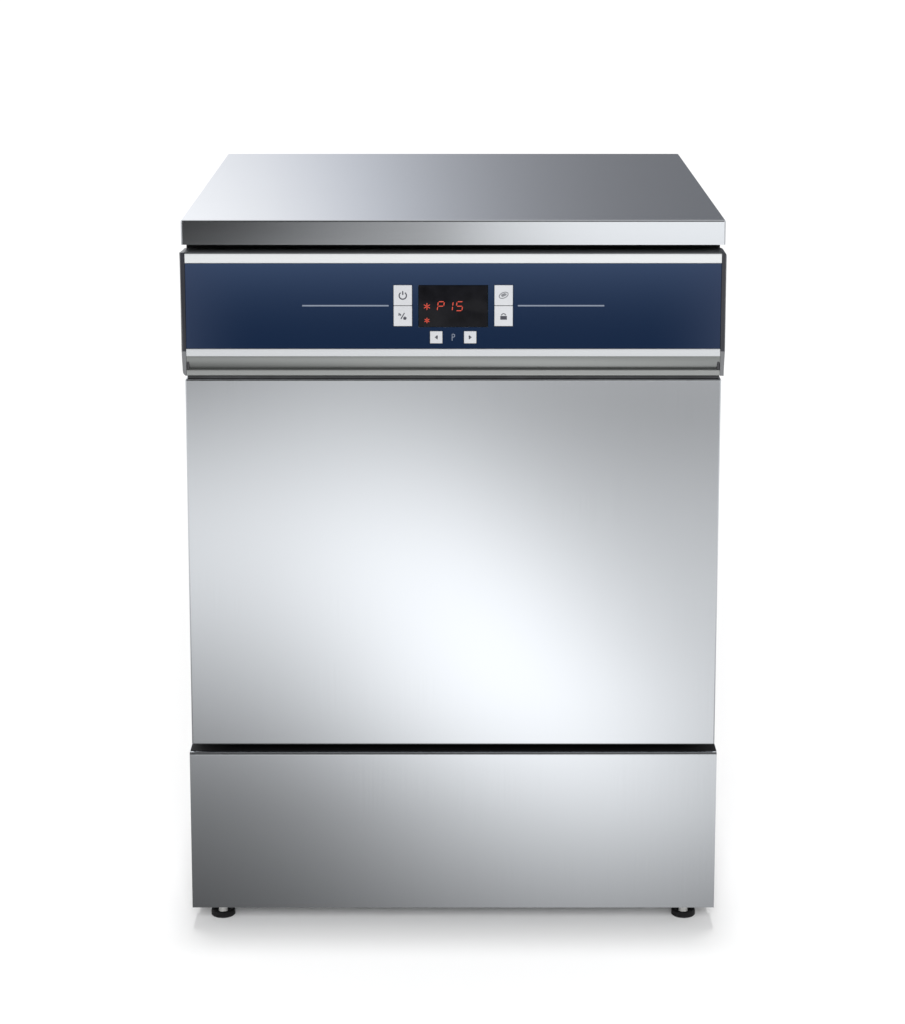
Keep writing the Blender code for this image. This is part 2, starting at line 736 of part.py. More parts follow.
def make_buttons(door):
    """Two columns of two square buttons, and two small keys under the display."""
    for side, column in ((LEFT, "left"), (RIGHT, "right")):
        middle = side * BUTTON_X
        half = BUTTON_WIDTH / 2
        rows = (
            ("upper", BUTTON_SPLIT + BUTTON_SEAM, BUTTON_TOP),
            ("lower", BUTTON_LOW, BUTTON_SPLIT - BUTTON_SEAM),
        )
        for row, bottom, top in rows:
            low = (middle - half, FRONT, bottom)
            high = (middle + half, FRONT + BUTTON_DEPTH, top)
            hang_on(box(f"button_{column}_{row}", low, high, white_plastic, bevel=0.0008), door)
        half = SMALL_SIDE / 2
        middle = side * SMALL_X
        low = (middle - half, FRONT, SMALL_Z - half)
        high = (middle + half, FRONT + BUTTON_DEPTH, SMALL_Z + half)
        hang_on(box(f"key_{column}", low, high, white_plastic, bevel=0.0006), door)


def make_display(door):
    low = (-DISPLAY_HALF, FASCIA_FRONT, DISPLAY_LOW)
    high = (DISPLAY_HALF, FASCIA_FRONT + DISPLAY_DEPTH, DISPLAY_TOP)
    hang_on(box("display_window", low, high, black_glass), door)
    low = (-BOARD_HALF, BOARD_FRONT, SMALL_Z - SMALL_SIDE / 2)
    high = (BOARD_HALF, BOARD_FRONT + RACK_WALL / 2, BUTTON_TOP + SMALL_SIDE)
    hang_on(box("control_board", low, high, board_green), door)
    low = (-STRIKE_HALF, STRIKE_FRONT, STRIKE_BOTTOM)
    high = (STRIKE_HALF, STRIKE_BACK, STRIKE_TOP)
    hang_on(box("door_strike", low, high, steel, bevel=0.001), door)


def make_hinges(door):
    """Brackets and pins on the cabinet, and arms on the door that turn about the pins."""
    for side, end in ((LEFT, "left"), (RIGHT, "right")):
        middle = side * BRACKET_INNER + side * PLATE / 2
        across = (middle - PLATE / 2, middle + PLATE / 2)
        low = (across[0], BRACKET_FRONT, HINGE_Z - BRACKET_HALF_HEIGHT)
        high = (across[1], BRACKET_BACK, HINGE_Z + BRACKET_HALF_HEIGHT)
        bracket = box(f"hinge_bracket_{end}", low, high, steel)
        start = (side * PIN_INNER, HINGE_Y, HINGE_Z)
        cylinder(f"hinge_pin_{end}", start, (side, 0, 0), PIN_RADIUS, PIN_OUTER - PIN_INNER, steel)
        middle = side * ARM_INNER + side * PLATE / 2
        loop = arc((HINGE_Y, HINGE_Z), ARM_HALF_WIDTH, 180, 360, steps=10)
        loop += [(HINGE_Y + ARM_HALF_WIDTH, ARM_TOP), (HINGE_Y - ARM_HALF_WIDTH, ARM_TOP)]
        hole = arc((HINGE_Y, HINGE_Z), PIN_RADIUS + GAP, 0, 360, steps=SEGMENTS)[:-1]
        start, end_x = middle - PLATE / 2, middle + PLATE / 2
        hang_on(extruded(f"hinge_arm_{end}", [loop, hole], ALONG_X, start, end_x, steel), door)
        bore_start = (side * (PIN_INNER - 0.01), HINGE_Y, HINGE_Z)
        cut_round(bracket, bore_start, (side, 0, 0), PIN_RADIUS + GAP, 0.03)


def make_latch():
    """A sprung hook behind the console that holds the strike on the door."""
    bottom, top = LATCH_Z - LATCH_BAR, LATCH_Z + LATCH_BAR
    hook = 0.0045
    loop = [(LATCH_TAIL, bottom), (LATCH_TAIL, top), (LATCH_TIP, top), (LATCH_TIP, LATCH_NOSE)]
    loop += [(LATCH_TIP + hook, LATCH_NOSE), (LATCH_TIP + 0.006, bottom)]
    latch = extruded("door_latch", [loop], ALONG_X, -LATCH_HALF, LATCH_HALF, steel)
    pivot(latch, (0, LATCH_Y, LATCH_Z))


# ---------------------------------------------------------------- machinery


def coil(x, side):
    points = []
    for step in range(SPRING_TURNS * SPRING_STEPS + 1):
        turn = step / SPRING_STEPS
        angle = side * turn * math.tau
        along = SPRING_START + turn * SPRING_PITCH
        across = x + SPRING_RADIUS * math.cos(angle)
        points.append((across, along, SPRING_Z + SPRING_RADIUS * math.sin(angle)))
    return points


def make_springs():
    for side, end in ((LEFT, "left"), (RIGHT, "right")):
        points = coil(side * SPRING_X, side)
        tube(f"counterbalance_spring_{end}", points, SPRING_WIRE, steel)


def make_feed_pipe():
    """Riser from the pump up behind the tub and over its ceiling to the upper spindle."""
    points = [(0, PIPE_REAR, PIPE_START)]
    for y, z in arc((PIPE_REAR - PIPE_BEND, PIPE_OVER - PIPE_BEND), PIPE_BEND, 0, 90, steps=5):
        points.append((0, y, z))
    points.append((0, PIPE_END, PIPE_OVER))
    tube("feed_pipe", points, PIPE_RADIUS, grey_plastic)


def make_wash_pump():
    """Volute, impeller and motor on one axis along Y, at the left under the tub."""
    outer, width, wall = VOLUTE_RADIUS, VOLUTE_WIDTH, VOLUTE_WALL
    profile = [(SHAFT_HOLE, width), (outer, width), (outer, 0), (VOLUTE_EYE, 0), (VOLUTE_EYE, wall)]
    profile += [(outer - wall, wall), (outer - wall, width - wall), (SHAFT_HOLE, width - wall)]
    turned("wash_pump_housing", profile, WASH_PUMP, (0, 1, 0), grey_plastic, closed=True)
    profile = [(0, 0.046), (0.006, 0.046), (0.006, 0.028), (0.042, 0.028), (0.042, 0.014), (0, 0.014)]
    turned("wash_pump_impeller", profile, WASH_PUMP, (0, 1, 0), grey_plastic)
    profile = [(0, 0.190), (0.030, 0.190), (0.048, 0.178), (0.048, 0.062), (0.036, 0.050), (0, 0.050)]
    turned("wash_pump_motor", profile, WASH_PUMP, (0, 1, 0), dark_grey)


def make_small_machines():
    """Drain pump, boiler and dosing pump, each a turned body of its own."""
    profile = [(0, 0.080), (0.022, 0.080), (0.022, 0.030), (0.034, 0.030), (0.034, 0), (0, 0)]
    turned("drain_pump", profile, DRAIN_PUMP, (0, 1, 0), grey_plastic)
    profile = [(0, 0.300), (0.040, 0.292), (0.056, 0.270), (0.056, 0.030), (0.040, 0.008), (0, 0)]
    turned("boiler", profile, BOILER, (0, 1, 0), steel)
    profile = [(0, 0.060), (0.020, 0.060), (0.020, 0.030), (0.032, 0.030), (0.032, 0), (0, 0)]
    turned("dosing_pump", profile, DOSING_PUMP, (0, 1, 0), grey_plastic)


def make_rear_fittings():
    """Water inlet, drain spigot and cable gland, all behind the rear panel's face."""
    start = REAR_FACE + GAP
    reach = BACK - start - 0.0005
    flange = FITTING_FLANGE
    for name, x, z, wide, narrow, mat in (
        ("inlet_spigot", 0.150, 0.100, 0.018, 0.013, grey_plastic),
        ("drain_spigot", 0.060, 0.085, 0.017, 0.012, dark_grey),
        ("cable_gland", -0.150, 0.095, 0.014, 0.009, rubber),
    ):
        profile = [(0, reach), (narrow, reach), (narrow, flange), (wide, flange), (wide, 0), (0, 0)]
        turned(name, profile, (x, start, z), (0, 1, 0), mat)


def build():
    make_worktop()
    make_side_panels()
    make_rear_panel()
    make_base_tray()
    make_kick_panel()
    make_front_rail()
    make_feet()
    make_tub()
    make_gasket()
    make_sump()
    make_filter()
    make_spindles()
    make_spray_arms()
    make_rack()
    make_rack_rails()
    door = joint_empty("door_axis", (0, HINGE_Y, HINGE_Z))
    make_door_panel(door)
    make_door_liner(door)
    make_console(door)
    make_console_cover(door)
    make_end_caps(door)
    make_buttons(door)
    make_display(door)
    make_hinges(door)
    make_latch()
    make_springs()
    make_feed_pipe()
    make_wash_pump()
    make_small_machines()
    make_rear_fittings()


clear_scene()
parts = new_collection("commercial_dishwasher")
cutters = new_collection("cutters")
steel = material("stainless_steel", (0.62, 0.62, 0.63), 0.32, 1.0)
silver = material("satin_silver", (0.78, 0.79, 0.81), 0.35, 0.6)
blue = material("blue_fascia", (0.025, 0.045, 0.095), 0.35, 0.3)
dark_grey = material("dark_grey_plastic", (0.09, 0.09, 0.10), 0.45, 0.0)
grey_plastic = material("grey_plastic", (0.35, 0.36, 0.38), 0.45, 0.0)
white_plastic = material("white_plastic", (0.72, 0.73, 0.74), 0.35, 0.0)
black_glass = material("black_glass", (0.008, 0.008, 0.009), 0.08, 0.0)
rubber = material("black_rubber", (0.015, 0.015, 0.016), 0.70, 0.0)
blue_plastic = material("rack_plastic", (0.05, 0.16, 0.33), 0.40, 0.0)
board_green = material("circuit_board", (0.02, 0.10, 0.05), 0.50, 0.0)
build()
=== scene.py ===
"""Looks of the under-counter commercial dishwasher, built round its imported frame; metres, front is -Y."""

import functools
import json
import math

import bmesh
import bpy
from mathutils import Matrix, Vector

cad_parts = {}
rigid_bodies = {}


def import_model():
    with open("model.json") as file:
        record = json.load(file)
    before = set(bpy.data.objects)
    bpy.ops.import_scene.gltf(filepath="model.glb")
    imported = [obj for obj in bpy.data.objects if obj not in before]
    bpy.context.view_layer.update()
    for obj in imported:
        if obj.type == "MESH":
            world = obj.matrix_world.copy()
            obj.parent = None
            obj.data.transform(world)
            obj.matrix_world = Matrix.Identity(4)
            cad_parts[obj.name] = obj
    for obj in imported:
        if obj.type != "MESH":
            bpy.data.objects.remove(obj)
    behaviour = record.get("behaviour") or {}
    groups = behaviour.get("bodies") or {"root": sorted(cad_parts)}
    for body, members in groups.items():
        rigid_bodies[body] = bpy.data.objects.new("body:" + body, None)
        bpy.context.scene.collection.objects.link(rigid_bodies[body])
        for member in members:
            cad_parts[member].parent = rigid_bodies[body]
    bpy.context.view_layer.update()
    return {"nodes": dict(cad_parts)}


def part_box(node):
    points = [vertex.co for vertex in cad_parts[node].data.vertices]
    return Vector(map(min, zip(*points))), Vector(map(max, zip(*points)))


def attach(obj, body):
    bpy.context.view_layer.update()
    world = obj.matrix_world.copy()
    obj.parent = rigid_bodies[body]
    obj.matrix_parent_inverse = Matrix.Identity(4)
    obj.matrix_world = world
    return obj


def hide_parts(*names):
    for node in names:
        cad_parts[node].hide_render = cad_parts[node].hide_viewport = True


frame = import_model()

LEFT, RIGHT = -1, 1
SIDES = ((LEFT, "left"), (RIGHT, "right"))
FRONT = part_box("worktop")[0].y
Z_AXIS = Vector((0, 0, 1))
SHEET = 0.0012  # thickness of folded sheet
HAIR = 0.00012  # how far printed shapes stand out of their surface
INK_DEPTH = 0.12  # share of its round section that an icon's stroke keeps
SEAM = 0.00018  # half of what the frame leaves between upper and lower buttons, and closed here
SPINDLE_HOLE = 0.0105
STEEL = (0.605, 0.627, 0.655)
# Scales of a brushed grain that runs along each axis, in cycles per metre.
ALONG_X = (9.0, 900.0, 900.0)
ALONG_Y = (900.0, 9.0, 900.0)
ALONG_Z = (900.0, 900.0, 9.0)


# ---------------------------------------------------------------- materials


class Paint:
    """A Principled material built up node by node; its textures are laid out in the piece's own metres."""

    def __init__(self, name, colour, roughness, metallic=0.0):
        self.mat = bpy.data.materials.new(name)
        self.mat.use_nodes = True
        self.nodes = self.mat.node_tree.nodes
        self.links = self.mat.node_tree.links
        self.shader = self.nodes["Principled BSDF"]
        self.colour = colour
        self.set("Base Color", (*colour, 1.0))
        self.set("Roughness", roughness)
        self.set("Metallic", metallic)
        self.place = self.nodes.new("ShaderNodeTexCoord").outputs["Object"]

    def set(self, socket, value):
        self.shader.inputs[socket].default_value = value

    def noise(self, scale, detail=3.0, roughness=0.55):
        """Noise of the given scale, one number or one for each axis, in cycles per metre."""
        mapping = self.nodes.new("ShaderNodeMapping")
        mapping.inputs["Scale"].default_value = scale if isinstance(scale, tuple) else (scale,) * 3
        node = self.nodes.new("ShaderNodeTexNoise")
        node.inputs["Scale"].default_value = 1.0
        node.inputs["Detail"].default_value = detail
        node.inputs["Roughness"].default_value = roughness
        self.links.new(self.place, mapping.inputs["Vector"])
        self.links.new(mapping.outputs["Vector"], node.inputs["Vector"])
        return node.outputs["Fac"]

    def spread(self, value, low, high, start=0.3, end=0.7):
        """Map a value that runs from start to end onto low to high."""
        node = self.nodes.new("ShaderNodeMapRange")
        for socket, number in (("From Min", start), ("From Max", end), ("To Min", low), ("To Max", high)):
            node.inputs[socket].default_value = number
        self.links.new(value, node.inputs["Value"])
        return node.outputs["Result"]

    def compute(self, operation, value, other=0.0):
        node = self.nodes.new("ShaderNodeMath")
        node.operation = operation
        node.inputs[1].default_value = other
        self.links.new(value, node.inputs[0])
        return node.outputs["Value"]

    def blend(self, factor, first, second):
        node = self.nodes.new("ShaderNodeMix")
        node.data_type = "RGBA"
        for index, colour in ((6, first), (7, second)):
            if isinstance(colour, tuple):
                node.inputs[index].default_value = (*colour, 1.0)
            else:
                self.links.new(colour, node.inputs[index])
        self.links.new(factor, node.inputs[0])
        return node.outputs[2]

    def feed(self, socket, value):
        self.links.new(value, self.shader.inputs[socket])

    def vary(self, value, darkest, lightest):
        """Let the base colour wander with value, between two shades of the paint's own colour."""
        first, second = shade(self.colour, darkest), shade(self.colour, lightest)
        self.feed("Base Color", self.blend(self.spread(value, 0.0, 1.0), first, second))

    def bump(self, height, strength, distance=0.0002):
        node = self.nodes.new("ShaderNodeBump")
        node.inputs["Strength"].default_value = strength
        node.inputs["Distance"].default_value = distance
        self.links.new(height, node.inputs["Height"])
        self.links.new(node.outputs["Normal"], self.shader.inputs["Normal"])


def shade(colour, factor):
    return tuple(min(1.0, channel * factor) for channel in colour)


def brushed(name, grain, colour=STEEL, roughness=0.30, grit=0.10, across=None, streak=0.04):
    """Brushed sheet steel: streaks along the axis whose grain scale is small, clouds, and fine scratches.

    Where across names an axis, reflections are drawn out at right angles to a grain that follows it.
    """
    paint = Paint(name, colour, roughness, 1.0)
    if across:
        tangent = paint.nodes.new("ShaderNodeTangent")
        tangent.direction_type = "RADIAL"
        tangent.axis = across
        paint.links.new(tangent.outputs["Tangent"], paint.shader.inputs["Tangent"])
        paint.set("Anisotropic", 0.55)
    streaks = paint.noise(grain, detail=4.0, roughness=0.7)
    clouds = paint.noise(3.5, detail=2.0)
    base = paint.blend(paint.spread(streaks, 0.0, 1.0), shade(colour, 1 - streak), shade(colour, 1 + streak))
    soft = paint.blend(paint.spread(clouds, 0.0, 0.2), base, shade(colour, 0.92))
    paint.feed("Base Color", soft)
    paint.feed("Roughness", paint.spread(streaks, roughness * (1 - 2 * streak), roughness * (1 + 3 * streak)))
    paint.bump(streaks, grit, 0.00015)
    return paint.mat


def satin(name, colour, metallic, roughness=0.36):
    """Anodised or lacquered aluminium, drawn lengthwise."""
    paint = Paint(name, colour, roughness, metallic)
    lines = paint.noise(ALONG_X, detail=4.0, roughness=0.7)
    paint.vary(lines, 0.98, 1.02)
    paint.feed("Roughness", paint.spread(lines, roughness - 0.03, roughness + 0.04))
    paint.bump(lines, 0.02, 0.0001)
    return paint.mat


def plastic(name, colour, roughness=0.4, grain=900.0, grit=0.06):
    """Moulded plastic with a fine texture and slight cloudiness."""
    paint = Paint(name, colour, roughness)
    fine = paint.noise(grain)
    clouds = paint.noise(14.0, detail=2.0)
    paint.vary(clouds, 0.93, 1.06)
    paint.feed("Roughness", paint.spread(fine, roughness - 0.05, roughness + 0.06))
    paint.bump(fine, grit, 0.00008)
    return paint.mat


def fascia_foil():
    """Dark blue foil, paler towards its top edge and its ends, with a fine sparkle."""
    low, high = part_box("console_fascia")
    bottom, top, ends = (0.0022, 0.0098, 0.0315), (0.0235, 0.0395, 0.081), (0.027, 0.038, 0.072)
    paint = Paint("blue_foil", bottom, 0.36)
    paint.set("Specular IOR Level", 0.06)
    split = paint.nodes.new("ShaderNodeSeparateXYZ")
    paint.links.new(paint.place, split.inputs["Vector"])
    rise = paint.compute("POWER", paint.spread(split.outputs["Z"], 0.0, 1.0, low.z, high.z), 2.0)
    aside = paint.spread(paint.compute("ABSOLUTE", split.outputs["X"]), 0.0, 1.0, high.x - 0.085, high.x)
    aside = paint.compute("MULTIPLY", paint.compute("POWER", aside, 2.0), 0.55)
    base = paint.blend(aside, paint.blend(rise, bottom, top), ends)
    sparkle = paint.noise(2600.0, detail=2.0)
    paint.feed("Base Color", paint.blend(paint.spread(sparkle, 0.0, 0.10), base, (0.05, 0.08, 0.15)))
    paint.feed("Roughness", paint.spread(sparkle, 0.33, 0.40))
    paint.bump(sparkle, 0.03, 0.00005)
    return paint.mat


def rubber_paint(name, colour=(0.005, 0.005, 0.0055)):
    paint = Paint(name, colour, 0.62)
    paint.set("Specular IOR Level", 0.25)
    fine = paint.noise(700.0)
    paint.feed("Roughness", paint.spread(fine, 0.55, 0.72))
    dust = paint.spread(paint.noise(40.0), 0.0, 0.35)
    paint.feed("Base Color", paint.blend(dust, colour, shade(colour, 2.2)))
    paint.bump(fine, 0.12, 0.0001)
    return paint.mat


def glossy_black():
    clean, smeared = (0.005, 0.005, 0.006), (0.009, 0.009, 0.011)
    paint = Paint("display_glass", (0.006, 0.006, 0.007), 0.10)
    paint.set("Specular IOR Level", 0.07)
    smudge = paint.noise(60.0, detail=3.0)
    paint.feed("Roughness", paint.spread(smudge, 0.08, 0.16))
    paint.feed("Base Color", paint.blend(paint.spread(smudge, 0.0, 1.0), clean, smeared))
    return paint.mat


def glowing(name, colour, strength):
    paint = Paint(name, colour, 0.4)
    paint.set("Emission Color", (*colour, 1.0))
    paint.set("Emission Strength", strength)
    paint.vary(paint.noise(900.0), 0.8, 1.0)
    return paint.mat


front_steel = brushed("brushed_front_steel", ALONG_Z, roughness=0.17, grit=0.012, across="Z", streak=0.014)
top_steel = brushed("brushed_top_steel", ALONG_X, roughness=0.13, grit=0.015, across="X", streak=0.016)
side_steel = brushed("brushed_side_steel", ALONG_Z, (0.58, 0.585, 0.595), 0.30, 0.05, "Z")
inner_steel = brushed("chamber_steel", ALONG_X, (0.60, 0.605, 0.61), 0.24, 0.05)
plain_steel = brushed("machined_steel", ALONG_Y, (0.56, 0.565, 0.575), 0.28, 0.05)
zinc_steel = brushed("galvanised_steel", (35.0, 35.0, 35.0), (0.50, 0.51, 0.52), 0.42, 0.05)
silver = satin("satin_silver", (0.665, 0.68, 0.685), 0.30)
# Painted shade: a darker copy of the satin silver for the console's lower strip.
shaded_low_silver = satin("satin_silver_low_painted_shade", (0.53, 0.545, 0.56), 0.30)
# Painted shadow: a dark copy of the satin silver for the console's top arc, under the worktop's overhang.
painted_shadow_silver = satin("satin_silver_painted_shadow", (0.10, 0.105, 0.11), 0.30)
# The grip's groove: darker than the strips, partly its own grey and partly painted shade in the cove.
grip_grey_and_shade = satin("grip_grey_painted_shade", (0.255, 0.265, 0.26), 0.85, 0.30)
# Painted shade: a darker copy of the satin silver for the lip below the grip.
lip_painted_shade_silver = satin("lip_silver_painted_shade", (0.31, 0.32, 0.315), 0.60, 0.30)
blue_foil = fascia_foil()
dark_plastic = plastic("dark_grey_plastic", (0.030, 0.030, 0.033), 0.40)
cap_dark = plastic("cap_dark_plastic", (0.018, 0.019, 0.025), 0.32)
# Pale grey for the caps' feet, and a painted highlight along their outer rims.
cap_grey_and_rim_highlight = plastic("cap_grey_plastic_and_painted_highlight", (0.135, 0.138, 0.145), 0.30)
grey_plastic = plastic("grey_plastic", (0.30, 0.31, 0.33))
white_plastic = plastic("button_white", (0.49, 0.50, 0.52), 0.38)
# Painted reflection: pale plastic standing in for the feet's shining steel stems.
neck_painted_reflection_plastic = plastic("neck_painted_reflection_plastic", (0.72, 0.72, 0.70), 0.45)
rack_plastic = plastic("rack_blue_plastic", (0.028, 0.105, 0.26), 0.42)
ink = plastic("icon_ink", (0.045, 0.047, 0.060), 0.5)
pale_ink = plastic("line_ink", (0.17, 0.20, 0.26), 0.5)
seam_grey = plastic("seam_grey", (0.16, 0.165, 0.18), 0.5)
black_glass = glossy_black()
rubber = rubber_paint("black_rubber")
grey_rubber = rubber_paint("gasket_rubber", (0.035, 0.036, 0.038))
red_light = glowing("red_segments", (0.42, 0.045, 0.024), 0.50)
board_green = plastic("circuit_board", (0.010, 0.075, 0.035), 0.35)


# ---------------------------------------------------------------- making pieces


def add(name, bm, mat, body="root", slot="stainless_steel", stands_for=(), sharp=35):
    """A new mesh piece that rides on a body."""
    mesh = bpy.data.meshes.new(name)
    bm.to_mesh(mesh)
    bm.free()
    mesh.materials.append(mat)
    mesh.shade_smooth()
    mesh.set_sharp_from_angle(angle=math.radians(sharp))
    return adopt(bpy.data.objects.new(name, mesh), body, stands_for)


def adopt(obj, body, stands_for=()):
    bpy.context.scene.collection.objects.link(obj)
    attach(obj, body)
    if stands_for:
        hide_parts(*stands_for)
    return obj


def settle(obj, sharp=35):
    """Apply the modifiers, and shade the result smooth with sharp creases."""
    bpy.context.view_layer.update()
    shape = obj.evaluated_get(bpy.context.evaluated_depsgraph_get())
    mesh = bpy.data.meshes.new_from_object(shape)
    obj.modifiers.clear()
    obj.data = mesh
    mesh.shade_smooth()
    mesh.set_sharp_from_angle(angle=math.radians(sharp))
    return obj


def box_bm(low, high):
    bm = bmesh.new()
    bmesh.ops.create_cube(bm, size=1.0)
    bmesh.ops.scale(bm, vec=Vector(high) - Vector(low), verts=bm.verts)
    bmesh.ops.translate(bm, vec=(Vector(high) + Vector(low)) / 2, verts=bm.verts)
    return bm


def round_edges(bm, radius, segments=3, edges=None):
    picked = edges or list(bm.edges)
    bmesh.ops.bevel(bm, geom=picked, offset=radius, segments=segments, profile=0.5, affect="EDGES")
    return bm


def rounded_box(name, low, high, radius, mat, segments=3, **how):
    return add(name, round_edges(box_bm(low, high), radius, segments), mat, **how)


def thicken(obj, sheet=SHEET):
    skin = obj.modifiers.new("sheet", "SOLIDIFY")
    skin.thickness = sheet
    skin.offset = -1.0
    skin.use_even_offset = True
    return settle(obj)


def opened(low, high, open_side):
    """A box without the side that faces open_side."""
    bm = box_bm(low, high)
    lid = [face for face in bm.faces if face.normal.dot(Vector(open_side)) > 0.5]
    bmesh.ops.delete(bm, geom=lid, context="FACES")
    return bm


def folded(name, low, high, open_side, bend, mat, **how):
    """A sheet folded on its edges, with round bends and one side open."""
    bm = opened(low, high, open_side)
    folds = [edge for edge in bm.edges if not edge.is_boundary]
    round_edges(bm, bend, 4, folds)
    return thicken(add(name, bm, mat, **how))


def folded_like(name, node, open_side, bend, mat, **how):
    low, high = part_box(node)
    return folded(name, low, high, open_side, bend, mat, stands_for=[node], **how)


def subtract(obj, bm):
    """Take a bmesh's shape out of a piece."""
    mesh = bpy.data.meshes.new("cutter")
    bm.to_mesh(mesh)
    bm.free()
    tool = bpy.data.objects.new("cutter", mesh)
    bpy.context.scene.collection.objects.link(tool)
    step = obj.modifiers.new("cut", "BOOLEAN")
    step.operation = "DIFFERENCE"
    step.object = tool
    settle(obj)
    bpy.data.objects.remove(tool, do_unlink=True)
    return obj


def cut(obj, boxes=(), cylinders=()):
    """Cut boxes, as (low, high), and upright cylinders, as (x, y, z, radius, height), out of a piece."""
    for low, high in boxes:
        subtract(obj, box_bm(low, high))
    if cylinders:
        bm = bmesh.new()
        for x, y, z, radius, height in cylinders:
            rod = bmesh.ops.create_cone(
                bm, cap_ends=True, segments=24, radius1=radius, radius2=radius, depth=height
            )["verts"]
            bmesh.ops.translate(bm, vec=(x, y, z), verts=rod)
        subtract(obj, bm)
    return obj


def arc(centre, radius, start, end, steps=8, flatten=1.0):
    """Points of an arc between two angles in degrees; flatten squeezes its first axis."""
    turn = [math.radians(start + (end - start) * step / steps) for step in range(steps + 1)]
    return [
        (centre[0] + radius * flatten * math.cos(a), centre[1] + radius * math.sin(a)) for a in turn
    ]


def prism_bm(loop, start, end, frame_matrix):
    """A flat outline pushed along its third axis, then laid out by a matrix."""
    bm = bmesh.new()
    face = bm.faces.new([bm.verts.new((a, b, start)) for a, b in loop])
    grown = bmesh.ops.extrude_face_region(bm, geom=[face])["geom"]
    moved = [item for item in grown if isinstance(item, bmesh.types.BMVert)]
    bmesh.ops.translate(bm, vec=(0, 0, end - start), verts=moved)
    bmesh.ops.recalc_face_normals(bm, faces=bm.faces)
    bm.transform(frame_matrix)
    return bm


SPAN_X = Matrix(((0, 0, 1, 0), (1, 0, 0, 0), (0, 1, 0, 0), (0, 0, 0, 1)))
SPAN_Y = Matrix(((1, 0, 0, 0), (0, 0, 1, 0), (0, 1, 0, 0), (0, 0, 0, 1)))
SPAN_Z = Matrix.Identity(4)


def lathe_bm(profile, centre, direction=(0, 0, 1), steps=40):
    """Turn a profile of (radius, height) about an axis through centre."""
    bm = bmesh.new()
    points = [bm.verts.new((radius, 0.0, height)) for radius, height in profile]
    edges = [bm.edges.new(pair) for pair in zip(points, points[1:])]
    bmesh.ops.spin(
        bm, geom=points + edges, cent=(0, 0, 0), axis=(0, 0, 1), angle=math.tau, steps=steps, use_merge=True
    )
    bmesh.ops.remove_doubles(bm, verts=bm.verts, dist=0.00001)
    bmesh.ops.recalc_face_normals(bm, faces=bm.faces)
    turn = Z_AXIS.rotation_difference(Vector(direction)).to_matrix().to_4x4()
    bm.transform(Matrix.Translation(Vector(centre)) @ turn)
    return bm


def merge(bm, other):
    """Add another bmesh's shape to bm."""
    mesh = bpy.data.meshes.new("part")
    other.to_mesh(mesh)
    other.free()
    bm.from_mesh(mesh)
    bpy.data.meshes.remove(mesh)


def tube_mesh(points, radius, mat, cyclic=False, resolution=4):
    """A round tube through the points, made with a curve that is taken away again."""
    data = bpy.data.curves.new("tube", "CURVE")
    data.dimensions = "3D"
    data.bevel_depth = radius
    data.bevel_resolution = resolution
    data.use_fill_caps = True
    spline = data.splines.new("POLY")
    spline.points.add(len(points) - 1)
    for point, spot in zip(spline.points, points):
        point.co = (*spot, 1.0)
    spline.use_cyclic_u = cyclic
    data.materials.append(mat)
    curve = bpy.data.objects.new("tube", data)
    bpy.context.scene.collection.objects.link(curve)
    bpy.context.view_layer.update()
    mesh = bpy.data.meshes.new_from_object(curve.evaluated_get(bpy.context.evaluated_depsgraph_get()))
    bpy.data.objects.remove(curve, do_unlink=True)
    return mesh


def rod(name, points, radius, mat, slot, stands_for=()):
    """A closed ring of round section that stays on the cabinet."""
    mesh = tube_mesh(points, radius, mat, cyclic=True)
    mesh.shade_smooth()
    mesh.set_sharp_from_angle(angle=math.radians(50))
    return adopt(bpy.data.objects.new(name, mesh), "root", stands_for)


def keep(node, mat, bevel=0.0005):
    """Show a frame solid itself, with softened edges and its own material."""
    obj = frame["nodes"][node]
    obj.data.materials.clear()
    obj.data.materials.append(mat)
    obj.data.shade_smooth()
    weld = obj.modifiers.new("weld", "WELD")
    weld.merge_threshold = 0.00001
    soften = obj.modifiers.new("edges", "BEVEL")
    soften.width = bevel
    soften.segments = 2
    soften.limit_method = "ANGLE"
    soften.angle_limit = math.radians(35)
    soften.harden_normals = True


# ---------------------------------------------------------------- cabinet outside


def make_worktop():
    folded_like("worktop_sheet", "worktop", (0, 0, -1), 0.0022, top_steel)


def make_sides():
    for side, end in SIDES:
        folded_like(f"side_sheet_{end}", f"side_panel_{end}", (-side, 0, 0), 0.0018, side_steel)


def make_kick():
    low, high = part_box("kick_panel")
    bm = opened(low, high, (0, 1, 0))
    top = [e for e in bm.edges if not e.is_boundary and min(v.co.z for v in e.verts) > high.z - 0.001]
    fold_radius = 0.0040
    round_edges(bm, fold_radius, 6, [e for e in top if abs(e.verts[0].co.y - e.verts[1].co.y) < 0.001])
    kick = thicken(add("kick_sheet", bm, front_steel, stands_for=["kick_panel"]))
    foot_low, foot_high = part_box("foot_front_right")
    notch = (foot_high.x - foot_low.x) / 2 - 0.003
    start, beyond, hem = (foot_low.y + foot_high.y) / 2 - notch - 0.001, 0.005, 0.002
    for side in (LEFT, RIGHT):
        middle = side * (foot_low.x + foot_high.x) / 2
        notch_low = (middle - notch, start, low.z - beyond)
        cut(kick, [(notch_low, (middle + notch, high.y + beyond, low.z + hem))])


def make_door_skin():
    low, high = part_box("door_outer_panel")
    how = dict(body="door", stands_for=["door_outer_panel"])
    skin = folded("door_skin", low, high, (0, 1, 0), 0.0018, front_steel, **how)
    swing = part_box("hinge_arm_left")[0].z + 0.0274
    inner, beyond = high.x - 0.0015, 0.01
    bottom_hem, top_hem, side_hem = 0.008, 0.0195, 0.018
    boxes = []
    for z, hem in ((low.z, bottom_hem), (high.z, top_hem)):
        boxes.append(((-inner, low.y + hem, z - beyond), (inner, high.y + beyond, z + beyond)))
    for side in (LEFT, RIGHT):
        across = sorted((side * (high.x - beyond), side * (high.x + beyond)))
        boxes.append(((across[0], low.y + side_hem, low.z - beyond), (across[1], high.y + beyond, swing)))
    cut(skin, boxes)


# ---------------------------------------------------------------- console


